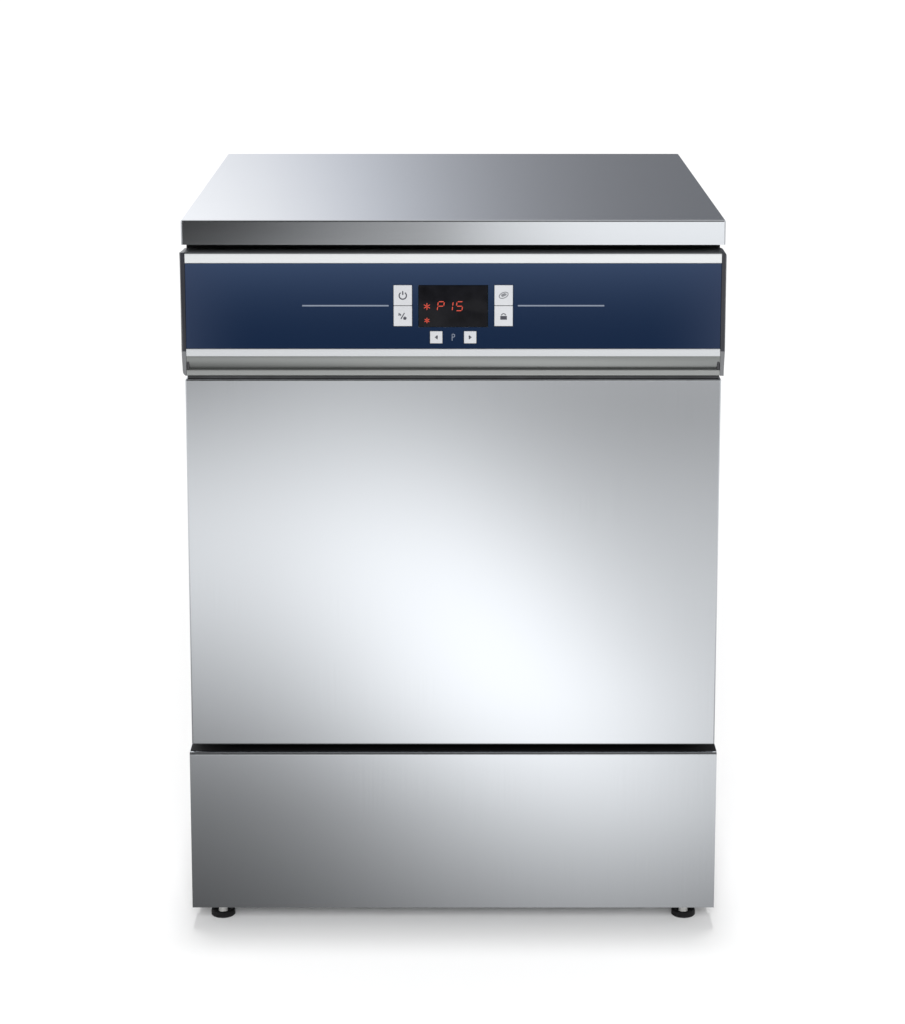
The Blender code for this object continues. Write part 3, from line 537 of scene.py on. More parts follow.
def console_loop():
    """Section of the console: pocket for the fascia, grip that turns under, and the lip below it."""
    low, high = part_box("console_body")
    fascia_low, fascia_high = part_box("console_fascia")
    pocket, wall, play = 0.0016, 0.0021, 0.0003
    nose, edge, toe = 0.003, 0.0008, 0.0016
    rim = play + edge
    grip_top, grip_bottom, depth = high.z - 0.1154, high.z - 0.1309, 0.009
    loop = [(high.y, high.z)]
    loop += arc((low.y + nose, high.z - nose), nose, 90, 180, 6)
    loop += [(low.y, fascia_high.z + 0.0012)]
    loop += arc((low.y + edge, fascia_high.z + rim), edge, 180, 270, 3)
    loop += [(low.y + pocket, fascia_high.z + play), (low.y + pocket, fascia_low.z - play)]
    loop += arc((low.y + edge, fascia_low.z - rim), edge, 90, 180, 3)
    turn_under, cove, steps = math.radians(42), 0.0042, 14
    for step in range(steps + 1):
        turn = turn_under * step / steps
        inward = cove * (1 - math.cos(turn)) / (1 - math.cos(turn_under))
        fall = (grip_top - grip_bottom) * math.sin(turn) / math.sin(turn_under)
        loop.append((low.y + inward, grip_top - fall))
    loop += arc((low.y + edge, grip_bottom - edge), edge, 90, 180, 4)
    loop += arc((low.y + toe, low.z + toe), toe, 180, 270, 4)
    shelf = low.y + 0.0195
    loop += [(shelf, low.z), (shelf, low.z + wall), (low.y + depth + wall, low.z + wall)]
    loop += [(low.y + depth + wall, fascia_low.z - wall), (low.y + pocket + wall, fascia_low.z)]
    loop += [(low.y + pocket + wall, high.z - wall), (high.y, high.z - wall)]
    return loop


def control_holes():
    """A box through the fascia and console for each button column, key and the display."""
    play = 0.0004
    holes = []
    for nodes in (
        ("button_left_upper", "button_left_lower"),
        ("button_right_upper", "button_right_lower"),
        ("key_left",),
        ("key_right",),
        ("display_window",),
    ):
        corners = [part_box(node) for node in nodes]
        low = Vector([min(pair[0][axis] for pair in corners) - play for axis in range(3)])
        high = Vector([max(pair[1][axis] for pair in corners) + play for axis in range(3)])
        holes.append(((low.x, FRONT - 0.01, low.z), (high.x, FRONT + 0.0055, high.z)))
    return holes


def make_console():
    low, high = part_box("console_body")
    how = dict(body="door", slot="satin_silver", stands_for=["console_body"])
    body = add("console_section", prism_bm(console_loop(), low.x, high.x, SPAN_X), silver, sharp=40, **how)
    cut(body, control_holes())
    # Darker copies of the satin silver paint shade on the lower strip and the lip, and partly in the grip's
    # groove.
    stripes = (shaded_low_silver, grip_grey_and_shade, lip_painted_shade_silver, painted_shadow_silver)
    for mat in stripes:
        body.data.materials.append(mat)
    # Faces on the top arc take the painted shadow; the others take the silver of their strip.
    shaded_top, borders = high.z - 0.0017, (high.z - 0.020, high.z - 0.1156, high.z - 0.1308)
    for face in body.data.polygons:
        below = sum(face.center.z < border for border in borders)
        face.material_index = len(stripes) if face.center.z > shaded_top else below
    low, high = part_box("console_fascia")
    how = dict(body="door", slot="blue_fascia", stands_for=["console_fascia"])
    cut(rounded_box("fascia_foil", low, high, 0.0002, blue_foil, 1, **how), control_holes())
    for side, end in SIDES:
        make_end_cap(side, end)
        make_grip_end(side, end)


def make_console_cover():
    """The sheet that closes the console's back, with a slot for the latch."""
    low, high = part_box("console_cover")
    fold = Vector((0, 0.0088, 0))
    how = dict(body="door", stands_for=["console_cover"])
    cover = folded("console_cover_sheet", low - fold, high, (0, -1, 0), 0.0016, inner_steel, **how)
    strike_low, strike_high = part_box("door_strike")
    half, play, swing, inset = 0.0125, 0.004, 0.028, 0.008
    slot_low = (-half, high.y - play, strike_low.z - play)
    cut(cover, [(slot_low, (half, high.y + play, strike_high.z + swing))])
    spots = [(x, high.y, z) for x in (-0.27, -0.14, 0.14, 0.27) for z in (low.z + inset, high.z - inset)]
    screws("cover", spots, (0, 1, 0), "door")


def make_top_shadow_seal():
    """A black seal along the cabinet's front edge, behind the console; it paints the shadow in the gap under
    the worktop.
    """
    rail_low, rail_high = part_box("front_top_rail")
    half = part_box("side_panel_right")[1].x - 0.0004
    bottom, top = rail_high.z - 0.014, rail_high.z + 0.0015
    corners = ((-half, rail_low.y - 0.0095, bottom), (half, rail_low.y - 0.0002, top))
    rounded_box("top_shadow_seal", *corners, 0.0022, rubber, 4, slot="black_rubber")


def make_gap_shadow_strips():
    """Black strips that paint the shadow in the gaps: under the console, behind the kick panel's top, and
    along its fold.
    """
    hair = 0.0001
    low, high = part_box("console_body")
    door_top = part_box("door_outer_panel")[1].z
    inset, front, back = 0.0004, 0.0036, 0.0076
    shadow_strip_low = (low.x + inset, low.y + front, door_top + hair)
    shadow_strip_high = (high.x - inset, low.y + back, low.z - hair)
    rounded_box("door_top_shadow_strip", shadow_strip_low, shadow_strip_high, 0.0006, grey_rubber, 2, body="door", slot="black_rubber")
    side_low, side_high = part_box("side_panel_right")
    half = side_high.x - inset
    kick_low, kick_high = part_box("kick_panel")
    bottom, top = kick_high.z - 0.040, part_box("hinge_bracket_left")[0].z - 0.0010
    outer, inner, lip = side_low.y - 0.0008, side_low.y - 0.0003, 0.0006
    loop = [(outer, top), (outer, bottom + 0.001), (outer - lip, bottom), (inner, bottom), (inner, top)]
    add("gap_shadow_apron", prism_bm(loop, -half, half, SPAN_X), rubber, slot="black_rubber")
    strip_low = (kick_low.x + 0.0006, kick_low.y + 0.0034, kick_high.z)
    strip_high = (kick_high.x - 0.0006, kick_high.y - 0.0004, kick_high.z + 0.0006)
    rounded_box("kick_shadow_strip", strip_low, strip_high, 0.0002, rubber, 1, slot="black_rubber")


def make_end_cap(side, end):
    """Moulded cap: dark, with broad round outer edges, a painted highlight along its outer rim, and a slimmer
    pale foot beside the grip.
    """
    low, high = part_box(f"end_cap_{end}")
    loop = [(high.y, high.z), (low.y, high.z), (low.y, low.z), (high.y, low.z)]
    bm = prism_bm(loop, low.x, high.x, SPAN_X)
    outer_x = low.x if side == LEFT else high.x
    curve, rim_highlight_width, shoulder, taper, foot_rise = 0.0045, 0.0011, 0.0040, 0.0014, 0.012
    rim = [e for e in bm.edges if all(abs(v.co.x - outer_x) < 0.0001 for v in e.verts)]
    rim = [e for e in rim if min(v.co.y for v in e.verts) < high.y - 0.001]
    round_edges(bm, curve, 5, rim)
    foot_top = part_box("console_fascia")[0].z - 0.003
    rim_x = outer_x - side * rim_highlight_width
    for spot, facing in (((0, 0, foot_top), (0, 0, 1)), ((rim_x, 0, 0), (1, 0, 0))):
        geom = list(bm.verts) + list(bm.edges) + list(bm.faces)
        bmesh.ops.bisect_plane(bm, geom=geom, plane_co=spot, plane_no=facing)
    # Faces in the narrow band along the outer edge take the pale grey as a painted highlight of the rounded
    # edge; faces below foot_top take it as the pale foot.
    for face in bm.faces:
        middle = face.calc_center_median()
        pale = middle.z < foot_top or abs(middle.x) > abs(rim_x)
        face.material_index = 1 if pale else 0
    for vert in bm.verts:
        if abs(vert.co.x) > abs(outer_x) - shoulder:
            vert.co.x -= side * taper * (1 - ease(vert.co.z, low.z, low.z + foot_rise))
    how = dict(body="door", slot="grey_plastic", stands_for=[f"end_cap_{end}"])
    cap = add(f"end_cap_shell_{end}", bm, cap_dark, sharp=50, **how)
    cap.data.materials.append(cap_grey_and_rim_highlight)


def make_grip_end(side, end):
    """Dark block that closes the grip's groove; its dark colour paints the shadow at the groove's end."""
    low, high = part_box("console_body")
    edge = side * high.x
    across = sorted((edge - side * 0.0032, edge))
    bottom, top = high.z - 0.1307, high.z - 0.1190
    corners = ((across[0], low.y + 0.0006, bottom), (across[1], low.y + 0.0100, top))
    rounded_box(f"grip_end_shadow_block_{end}", *corners, 0.0008, dark_plastic, body="door", slot="dark_grey_plastic")


def make_buttons():
    """Four buttons, upper and lower closer together than in the frame, and the two keys under the display."""
    buttons = [f"button_{column}_{row}" for column in ("left", "right") for row in ("upper", "lower")]
    for node in buttons + ["key_left", "key_right"]:
        low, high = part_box(node)
        if node.endswith("upper"):
            low.z -= SEAM
        if node.endswith("lower"):
            high.z += SEAM
        radius, steps = (0.0006, 4) if node.startswith("key") else (0.0005, 3)
        how = dict(body=node + "_body", slot="white_plastic", stands_for=[node])
        rounded_box(node + "_cap", low, high, radius, white_plastic, steps, **how)


def strokes(name, lines, centre, body, mat, radius):
    """An icon drawn with round strokes; each line is a list of (x, z) in millimetres about the centre."""
    bm = bmesh.new()
    for line in lines:
        points = [(centre.x + x / 1000, FRONT - HAIR, centre.z + z / 1000) for x, z in line]
        mesh = tube_mesh(points, radius, mat, resolution=2)
        bm.from_mesh(mesh)
        bpy.data.meshes.remove(mesh)
    flatten = Matrix.Diagonal((1, INK_DEPTH, 1, 1))
    bm.transform(Matrix.Translation((0, FRONT, 0)) @ flatten @ Matrix.Translation((0, -FRONT, 0)))
    add(name, bm, mat, body=body, slot="black_rubber")


def centre_of(node):
    low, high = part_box(node)
    return (low + high) / 2


def make_icons():
    """Generic marks: power, half load, sponge, pot, and arrows to the left and right."""
    power = [arc((0, -0.4), 4.0, 125, 415, 18), [(0, 0.4), (0, 4.6)]]
    half = [[(-4.2, 3.6), (-4.2, 0.4)], [(-4.2, 2.2), (-2.4, 2.2), (-2.4, 0.4)], [(1.8, 3.6), (-2.2, -3.2)]]
    half += [[(0.2, -1.9), (4.2, -1.9)], [(0.5, -2.7), (4.0, -2.7)]]
    half += [[(0.9, -3.4), (3.6, -3.4)], [(1.4, -1.0), (3.2, -1.0)]]
    oval = [(5.2 * math.cos(t / 9), 3.0 * math.sin(t / 9)) for t in range(57)]
    tilt = math.radians(24)
    lean, rise = math.cos(tilt), math.sin(tilt)
    sponge = [[(x * lean - z * rise, x * rise + z * lean) for x, z in oval]]
    sponge += [[(-2.8, -0.9), (2.9, 1.7)], [(-1.8, -1.6), (3.2, 0.7)], [(-2.6, 0.3), (1.6, 2.2)]]
    pot = [[(-3.6, z), (3.6, z)] for z in (-0.2, -1.0, -1.8, -2.6, -3.4)]
    pot += [arc((0, 0.4), 2.4, 15, 165, 8)]
    left = [[(1.2, 2.0), (-1.2, 0), (1.2, -2.0), (1.2, 2.0)], [(0.5, 1.0), (0.5, -1.0)]]
    right = [[(-x, z) for x, z in line] for line in left]
    for name, lines, node, mat, radius in (
        ("icon_power", power, "button_left_upper", ink, 0.00068),
        ("icon_half_load", half, "button_left_lower", ink, 0.00056),
        ("icon_sponge", sponge, "button_right_upper", seam_grey, 0.00048),
        ("icon_pot", pot, "button_right_lower", ink, 0.00052),
        ("icon_back", left, "key_left", ink, 0.0006),
        ("icon_next", right, "key_right", ink, 0.0006),
    ):
        strokes(name, lines, centre_of(node), node + "_body", mat, radius)


def segment_loop(start, end, thick):
    """Outline of one bar of a digit, with pointed tips and a gap at either end."""
    along = end - start
    length, gap, tip = along.length, 0.0005, thick / 2
    along.normalize()
    side = Vector((-along.y, along.x)) * tip
    corners = ((gap, 0), (gap + tip, 1), (length - gap - tip, 1), (length - gap, 0))
    corners += ((length - gap - tip, -1), (gap + tip, -1))
    return [start + along * reach + side * sway for reach, sway in corners]


def make_display():
    """The window, three red seven-segment digits that lean a little, and two small stars."""
    keep("display_window", black_glass, 0.0003)
    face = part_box("display_window")[0].y
    middle_z = centre_of("display_window").z
    width, height, thick, lean = 0.0066, 0.0100, 0.0010, 0.12
    half = height / 2
    spans = {
        "a": ((0, height), (width, height)),
        "b": ((width, height), (width, half)),
        "c": ((width, half), (width, 0)),
        "d": ((0, 0), (width, 0)),
        "e": ((0, 0), (0, half)),
        "f": ((0, half), (0, height)),
        "g": ((0, half), (width, half)),
    }
    digits = bmesh.new()
    for start_x, lit in ((-0.0176, "abefg"), (-0.0078, "bc"), (0.0030, "acdfg")):
        for key in lit:
            spots = segment_loop(*(Vector(spot) for spot in spans[key]), thick)
            loop = [(start_x + p.x + p.y * lean, middle_z - half + p.y) for p in spots]
            merge(digits, prism_bm(loop, face - HAIR, face + HAIR, SPAN_Y))
    add("display_digits", digits, red_light, body="door", slot="black_glass")
    marks = bmesh.new()
    star_x, stroke = -0.0289, 0.00042
    for z, size in ((middle_z - 0.0003, 0.0038), (middle_z - 0.0160, 0.0030)):
        for turn in range(3):
            a = math.radians(60 * turn + 30)
            d, n = Vector((math.cos(a), math.sin(a))) * size, Vector((-math.sin(a), math.cos(a))) * stroke
            loop = [(star_x + p.x, z + p.y) for p in (-d - n, d - n, d + n, -d + n)]
            merge(marks, prism_bm(loop, face - HAIR, face + HAIR, SPAN_Y))
    add("display_marks", marks, red_light, body="door", slot="black_glass")


def make_fascia_print():
    """Thin printed lines either side of the buttons, and the programme letter between the keys."""
    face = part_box("console_fascia")[0].y
    z = (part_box("button_left_upper")[0].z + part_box("button_left_lower")[1].z) / 2
    start, end_x, half = 0.0710, 0.1660, 0.0008
    for side, end in SIDES:
        across = sorted((side * start, side * end_x))
        corners = ((across[0], face - HAIR, z - half), (across[1], face + HAIR, z + half))
        add(f"fascia_line_{end}", box_bm(*corners), pale_ink, body="door", slot="blue_fascia")
    letter = [[(-1.2, -3.6), (-1.2, 3.6), (0.6, 3.6), (1.5, 2.8), (1.5, 1.2), (0.6, 0.4), (-1.2, 0.4)]]
    spot = Vector((0, 0, centre_of("key_left").z))
    strokes("programme_letter", letter, spot, "door", pale_ink, 0.00045)


# ---------------------------------------------------------------- feet and fasteners


def foot_profiles(wide):
    """Sections of a foot of the given radius: rubber cup, neck in pale plastic that paints a steel stem's
    reflection, and threaded stem with its nut.
    """
    cup = [(0, 0), (wide - 0.0008, 0), (wide, 0.0009), (wide, 0.0058), (wide - 0.0006, 0.0068)]
    cup += [(wide - 0.0022, 0.0072), (wide - 0.0036, 0.0068), (0.0074, 0.0050), (0.0062, 0.0046), (0, 0.0046)]
    neck = [(0, 0.0046), (0.0054, 0.0047), (0.0050, 0.0060), (0.0050, 0.0150), (0, 0.0150)]
    stem = [(0, 0.0152), (0.0078, 0.0152), (0.0082, 0.0158)]
    stem += [(0.0082, 0.0225), (0.0078, 0.0231), (0.005, 0.0231)]
    crest, root, pitch, first, threads = 0.0050, 0.0044, 0.0015, 0.0235, 34
    for thread in range(threads):
        z = first + thread * pitch
        stem += [(crest, z), (root, z + pitch / 2)]
    stem += [(0.0046, 0.0748), (0, 0.0750)]
    return cup, neck, stem


def make_feet():
    for node in [f"foot_{row}_{end}" for row in ("front", "rear") for _, end in SIDES]:
        low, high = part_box(node)
        spot = Vector(((low.x + high.x) / 2, (low.y + high.y) / 2, low.z))
        cup, neck, stem = foot_profiles((high.x - low.x) / 2)
        body = node + "_body"
        add(node + "_pad", lathe_bm(cup, spot), rubber, body, "black_rubber", stands_for=[node])
        # The neck's pale plastic is a painted reflection of the steel stem.
        add(node + "_neck", lathe_bm(neck, spot, steps=24), neck_painted_reflection_plastic, body, "grey_plastic")
        add(node + "_stem", lathe_bm(stem, spot, steps=24), plain_steel, body, "stainless_steel")


@functools.cache
def screw_shape():
    """One cross-head screw, made once and shared."""
    head = [(0, 0.0019), (0.0012, 0.0018), (0.0024, 0.0014), (0.0033, 0.0006), (0.0036, 0), (0, 0)]
    obj = add("screw_master", lathe_bm(head, (0, 0, 0), steps=20), zinc_steel)
    reach, half, bed, beyond = 0.0017, 0.0003, 0.0009, 0.003
    for x, y in ((reach, half), (half, reach)):
        cut(obj, [((-x, -y, bed), (x, y, beyond))])
    mesh = obj.data
    bpy.data.objects.remove(obj, do_unlink=True)
    return mesh


def screws(prefix, spots, outwards, body="root"):
    turn = Z_AXIS.rotation_difference(Vector(outwards)).to_matrix().to_4x4()
    for number, spot in enumerate(spots, 1):
        obj = bpy.data.objects.new(f"{prefix}_screw_{number}", screw_shape())
        obj.matrix_world = Matrix.Translation(Vector(spot)) @ turn @ Matrix.Rotation(number * 0.9, 4, "Z")
        adopt(obj, body)


# ---------------------------------------------------------------- back


def make_louvres(face):
    """Two columns of half-round vents, pressed out of the rear sheet."""
    radius, half, soft = 0.0045, 0.045, 0.0012
    lowest, pitch, rows = 0.60, 0.020, 7
    vents = bmesh.new()
    for column in (-0.13, 0.13):
        for row in range(rows):
            bar = prism_bm(arc((0, 0), radius, 0, 180, 6), -half, half, Matrix.Identity(4))
            spot = Matrix.Translation((column, face, lowest + row * pitch))
            bar.transform(spot @ Matrix.Rotation(math.pi / 2, 4, "Y"))
            merge(vents, round_edges(bar, soft, 2, [e for e in bar.edges if e.calc_length() > half]))
    add("rear_louvres", vents, zinc_steel)


def make_back():
    folded_like("rear_sheet", "rear_panel", (0, -1, 0), 0.0025, zinc_steel)
    low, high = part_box("rear_panel")
    inset, side_inset = 0.03, 0.012
    heights = (low.z + inset, 0.30, 0.55, high.z - inset)
    spots = [(x, high.y, z) for z in heights for x in (low.x + side_inset, high.x - side_inset)]
    screws("rear", spots, (0, 1, 0))
    make_louvres(high.y)
    plate = ((-0.045, high.y - HAIR, 0.16), (0.045, high.y + 0.0006, 0.21))
    rounded_box("rear_blank_plate", *plate, 0.0002, silver, 1)
    for node, mat, slot in (
        ("inlet_spigot", grey_plastic, "grey_plastic"),
        ("drain_spigot", dark_plastic, "dark_grey_plastic"),
        ("cable_gland", rubber, "black_rubber"),
    ):
        make_fitting(node, mat, slot)


def make_fitting(node, mat, slot):
    """A flanged spigot with a turned thread."""
    low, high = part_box(node)
    spot = Vector(((low.x + high.x) / 2, low.y, (low.z + high.z) / 2))
    wide, reach = (high.x - low.x) / 2, high.y - low.y
    narrow, soft, flange, floor = wide - 0.005, 0.0005, 0.004, 0.006
    profile = [(0, 0), (wide, 0), (wide, flange - soft), (wide - soft, flange), (narrow + 0.0006, flange)]
    turns, first, groove = 6, 0.0055, 0.0008
    pitch = (reach - 0.007) / turns
    for turn in range(turns):
        z = first + turn * pitch
        profile += [(narrow, z), (narrow, z + pitch * 0.4), (narrow - groove, z + pitch * 0.7)]
    bore = narrow - 0.004
    profile += [(narrow - 0.001, reach), (bore, reach), (bore, floor), (0, floor)]
    add(node + "_turned", lathe_bm(profile, spot, (0, 1, 0)), mat, slot=slot, stands_for=[node])


# ---------------------------------------------------------------- wash chamber


def make_tub():
    """Deep-drawn chamber with round corners and a flange round its mouth."""
    low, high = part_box("tub")
    flange = 0.0115
    corner = 0.016
    mouth = low.y + SHEET
    inner_low = (low.x + flange, mouth, low.z + flange)
    inner_high = (high.x - flange, high.y, high.z - flange)
    bm = opened(inner_low, inner_high, (0, -1, 0))
    round_edges(bm, corner, 6, [e for e in bm.edges if not e.is_boundary])
    rim = [e for e in bm.edges if e.is_boundary]
    grown = bmesh.ops.extrude_edge_only(bm, edges=rim)["geom"]
    middle = (low.z + high.z) / 2
    half_z = (inner_high[2] - inner_low[2]) / 2
    for vert in (item for item in grown if isinstance(item, bmesh.types.BMVert)):
        vert.co.x *= high.x / inner_high[0]
        vert.co.z = middle + (vert.co.z - middle) * (half_z + flange) / half_z
    tub = thicken(add("tub_shell", bm, inner_steel, stands_for=["tub"]))
    sump_low, sump_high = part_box("sump")
    edge, depth = 0.005, 0.01
    hole_low = (sump_low.x + edge, sump_low.y + edge, inner_low[2] - depth)
    hole_high = (sump_high.x - edge, sump_high.y - edge, inner_low[2] + depth)
    cut(tub, [(hole_low, hole_high)], [(0, 0, inner_high[2], SPINDLE_HOLE, 0.03)])


def rounded_rectangle(low_x, high_x, low_z, high_z, radius, y, steps=6):
    spots = []
    for x, z, start in (
        (high_x - radius, high_z - radius, 0),
        (low_x + radius, high_z - radius, 90),
        (low_x + radius, low_z + radius, 180),
        (high_x - radius, low_z + radius, 270),
    ):
        spots += [(a, y, b) for a, b in arc((x, z), radius, start, start + 90, steps)]
    return spots


def make_gasket():
    low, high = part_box("tub_gasket")
    bead = (high.y - low.y) / 2
    middle = (low.y + high.y) / 2
    inset = bead + 0.0008
    path = rounded_rectangle(low.x + inset, high.x - inset, low.z + inset, high.z - inset, 0.014, middle)
    rod("gasket_bead", path, bead, grey_rubber, "black_rubber", ["tub_gasket"])
    lip = 0.0022
    path = rounded_rectangle(low.x + lip, high.x - lip, low.z + lip, high.z - lip, 0.016, high.y - lip)
    rod("gasket_lip", path, lip, grey_rubber, "black_rubber")


def make_liner():
    """The door's inner sheet, with a shallow pressed field and screws round its edge."""
    low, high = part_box("door_liner")
    bm = opened(low, high, (0, -1, 0))
    round_edges(bm, 0.004, 4, [e for e in bm.edges if not e.is_boundary])
    face = max(bm.faces, key=lambda f: f.calc_area())
    border, dish, slope, foot, inset = 0.040, 0.006, 0.006, 0.004, 0.014
    for inward, sink in ((border, 0), (slope, -dish), (foot, 0)):
        bmesh.ops.inset_region(bm, faces=[face], thickness=inward, depth=sink)
    thicken(add("liner_sheet", bm, inner_steel, "door", stands_for=["door_liner"]))
    spots = [(x, high.y, z) for x in (low.x + inset, high.x - inset) for z in (0.30, 0.42, 0.54, 0.655)]
    screws("liner", spots, (0, 1, 0), "door")


def make_rack():
    """A moulded open rack: latticed floor and sides, a strong rim, and hand holes."""
    low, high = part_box("rack")
    bar, floor, rim, wall, corner = 0.0032, 0.005, 0.009, 0.004, 0.012
    hold_half, hold_depth = 0.056, 0.035
    pitch, count = 0.0312, 15
    mid_y, hand = (low.y + high.y) / 2, high.z - hold_depth
    ends, sides = (low.x, high.x - wall), (low.y, high.y - wall)
    bm = bmesh.new()

    def block(a, b, soft=0.0008):
        merge(bm, round_edges(box_bm(a, b), soft, 2))

    for index in range(count):
        x = (index - (count - 1) / 2) * pitch
        y = mid_y + x
        block((x - bar / 2, low.y + wall, low.z), (x + bar / 2, high.y - wall, low.z + floor))
        block((low.x + wall, y - bar / 2, low.z), (high.x - wall, y + bar / 2, low.z + floor))
        for end in ends:
            block((end, y - bar / 2, low.z), (end + wall, y + bar / 2, high.z))
        top = high.z if abs(x) > hold_half else hand
        for side in sides:
            block((x - bar / 2, side, low.z), (x + bar / 2, side + wall, top))
    for z, deep in ((low.z, 0.007), (low.z + 0.030, 0.0035), (hand - 0.006, 0.004), (high.z - rim, rim)):
        for end in ends:
            block((end, low.y, z), (end + wall, high.y, z + deep))
        for side in sides:
            block((low.x, side, z), (high.x, side + wall, z + deep))
    for x in (low.x, high.x - corner):
        for y in (low.y, high.y - corner):
            block((x, y, low.z), (x + corner, y + corner, high.z), 0.0025)
    for x in (-hold_half - wall, hold_half):
        for side in sides:
            block((x, side, hand - 0.006), (x + wall, side + wall, high.z))
    add("rack_lattice", bm, rack_plastic, "rack_body", "rack_plastic", stands_for=["rack"])


def arm_loop(length, half, hub):
    reach = length / 2 - half
    lean = math.degrees(math.asin(half / hub))
    loop = arc((reach, 0), half, -90, 90, 10)
    loop += arc((0, 0), hub, lean, 180 - lean, 12)
    loop += arc((-reach, 0), half, 90, 270, 10)
    loop += arc((0, 0), hub, 180 + lean, 360 - lean, 12)
    return loop


def make_spray_arm(node, half, hub, soft, nozzles, faces_up):
    """A hollow pressed arm with round edges, a hub boss, and a row of jets in little cups."""
    low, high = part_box(node)
    bm = prism_bm(arm_loop(high.x - low.x, half, hub), low.z, high.z, SPAN_Z)
    round_edges(bm, soft, 4, [e for e in bm.edges if abs(e.verts[0].co.z - e.verts[1].co.z) < 0.0001])
    body = node + "_body"
    arm = add(node + "_shell", bm, inner_steel, body, stands_for=[node])
    cut(arm, [], [(0, 0, (low.z + high.z) / 2, 0.0096, 0.05)])
    face = high.z if faces_up else low.z
    out = 1 if faces_up else -1
    jets = bmesh.new()
    first, last, aside, sunk = hub + 0.010, (high.x - low.x) / 2 - 0.008, 0.35 * half, 0.0001
    lip = min(0.0042, half * 0.7)
    ring = [(lip, 0), (lip, 0.0010), (lip - 0.0008, 0.0014)]
    ring += [(lip * 0.45, 0.0012), (lip * 0.35, 0.0002), (0, 0.0002)]
    for side in (LEFT, RIGHT):
        for index in range(nozzles):
            x = side * (first + (last - first) * index / (nozzles - 1))
            y = aside if index % 2 else -aside
            merge(jets, lathe_bm(ring, (x, y, face - out * sunk), (0, 0, out), 16))
    add(node + "_jets", jets, dark_plastic, body, "stainless_steel")


def make_spray_arms():
    for level, up in (("lower", True), ("upper", False)):
        make_spray_arm(f"{level}_wash_arm", 0.016, 0.024, 0.0045, 6, up)
        make_spray_arm(f"{level}_rinse_arm", 0.0045, 0.015, 0.0026, 7, up)


def knob(name, centre, height, radius, out=1):
    """A ribbed hand nut that holds a spray arm on its spindle."""
    profile = [(0, 0), (radius * 0.8, 0), (radius, height * 0.25), (radius, height * 0.8)]
    profile += [(radius * 0.85, height), (0, height)]
    add(name, lathe_bm(profile, centre, (0, 0, out), 14), dark_plastic, slot="grey_plastic", sharp=20)


def make_chamber_fittings():
    keep("lower_spindle", plain_steel)
    keep("upper_spindle", plain_steel)
    for end in ("left", "right"):
        keep(f"rack_rail_{end}", inner_steel, 0.0008)
    keep("sump", inner_steel, 0.0004)
    overlap, height, radius = 0.002, 0.010, 0.012
    knob("lower_arm_nut", (0, 0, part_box("lower_spindle")[1].z - overlap), height, radius)
    knob("upper_arm_nut", (0, 0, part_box("upper_spindle")[0].z + overlap), height, radius, -1)
    make_filter()


def make_filter():
    """Perforated filter plate, and the fine filter cup that twists out of it."""
    low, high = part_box("filter_plate")
    cup_low, cup_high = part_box("filter_cup")
    cup = (cup_low + cup_high) / 2
    plate = rounded_box("filter_sheet", low, high, 0.0005, inner_steel, 2, stands_for=["filter_plate"])
    middle = (low.z + high.z) / 2
    wells = [(0, 0, middle, SPINDLE_HOLE, 0.03), (cup.x, cup.y, middle, 0.035, 0.03)]
    cut(plate, [], wells)
    holes = []
    pitch, hole, around_hub, around_cup, reach_x, reach_y = 0.0125, 0.0034, 0.018, 0.046, 0.122, 0.112
    for column in range(-9, 10):
        for row in range(-8, 9):
            spot = Vector((column * pitch, (row + (0.5 if column % 2 else 0.0)) * pitch))
            clear = spot.length > around_hub and (spot - Vector((cup.x, cup.y))).length > around_cup
            if clear and abs(spot.x) < reach_x and abs(spot.y) < reach_y:
                holes.append((spot.x, spot.y, middle, hole, 0.02))
    cut(plate, [], holes)
    rim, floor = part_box("filter_plate")[1].z + 0.0003, cup_low.z
    inside, outside, flange, sheet, soft = 0.032, 0.034, 0.040, 0.002, 0.0008
    profile = [(0, floor + sheet), (inside, floor + sheet), (inside, rim + sheet - 0.0004)]
    profile += [(inside + soft, rim + sheet), (flange - soft, rim + sheet), (flange, rim + sheet - soft)]
    profile += [(flange, rim), (outside, rim), (outside, floor + 0.001), (outside - 0.001, floor), (0, floor)]
    body = "filter_cup_body"
    shell = lathe_bm(profile, (cup.x, cup.y, 0))
    add("filter_cup_shell", shell, grey_plastic, body, "grey_plastic", stands_for=["filter_cup"])
    half, thick, bottom = 0.0328, 0.0022, 0.262
    grip = ((cup.x - half, cup.y - thick, bottom), (cup.x + half, cup.y + thick, cup_high.z))
    rounded_box("filter_cup_grip", *grip, 0.0012, dark_plastic, body=body, slot="grey_plastic")


# ---------------------------------------------------------------- hidden parts


def keep_machinery():
    for nodes, mat, bevel in (
        (("base_tray", "front_top_rail"), zinc_steel, 0.0004),
        (("hinge_bracket_left", "hinge_bracket_right"), plain_steel, 0.0005),
        (("hinge_pin_left", "hinge_pin_right"), plain_steel, 0.0004),
        (("hinge_arm_left", "hinge_arm_right"), plain_steel, 0.0005),
        (("counterbalance_spring_left", "counterbalance_spring_right"), plain_steel, 0.0001),
        (("door_latch", "door_strike"), plain_steel, 0.0006),
        (("wash_pump_housing", "wash_pump_impeller", "drain_pump", "dosing_pump"), grey_plastic, 0.0008),
        (("wash_pump_motor",), dark_plastic, 0.0010),
        (("boiler",), plain_steel, 0.0015),
        (("feed_pipe",), grey_plastic, 0.0002),
        (("control_board",), board_green, 0.0003),
    ):
        for node in nodes:
            keep(node, mat, bevel)


def flatten_shading():
    """Weigh every piece's normals by face area, so flat sheets stay flat beside their round edges."""
    solids = set(frame["nodes"].values())
    for obj in bpy.context.scene.objects:
        if obj.type == "MESH" and obj not in solids:
            weigh = obj.modifiers.new("weigh", "WEIGHTED_NORMAL")
            weigh.mode = "FACE_AREA"
            weigh.keep_sharp = True


# ---------------------------------------------------------------- studio


def stage_object(name, mesh, mat):
    mesh.materials.append(mat)
    obj = bpy.data.objects.new(name, mesh)
    bpy.context.scene.collection.objects.link(obj)
    return obj


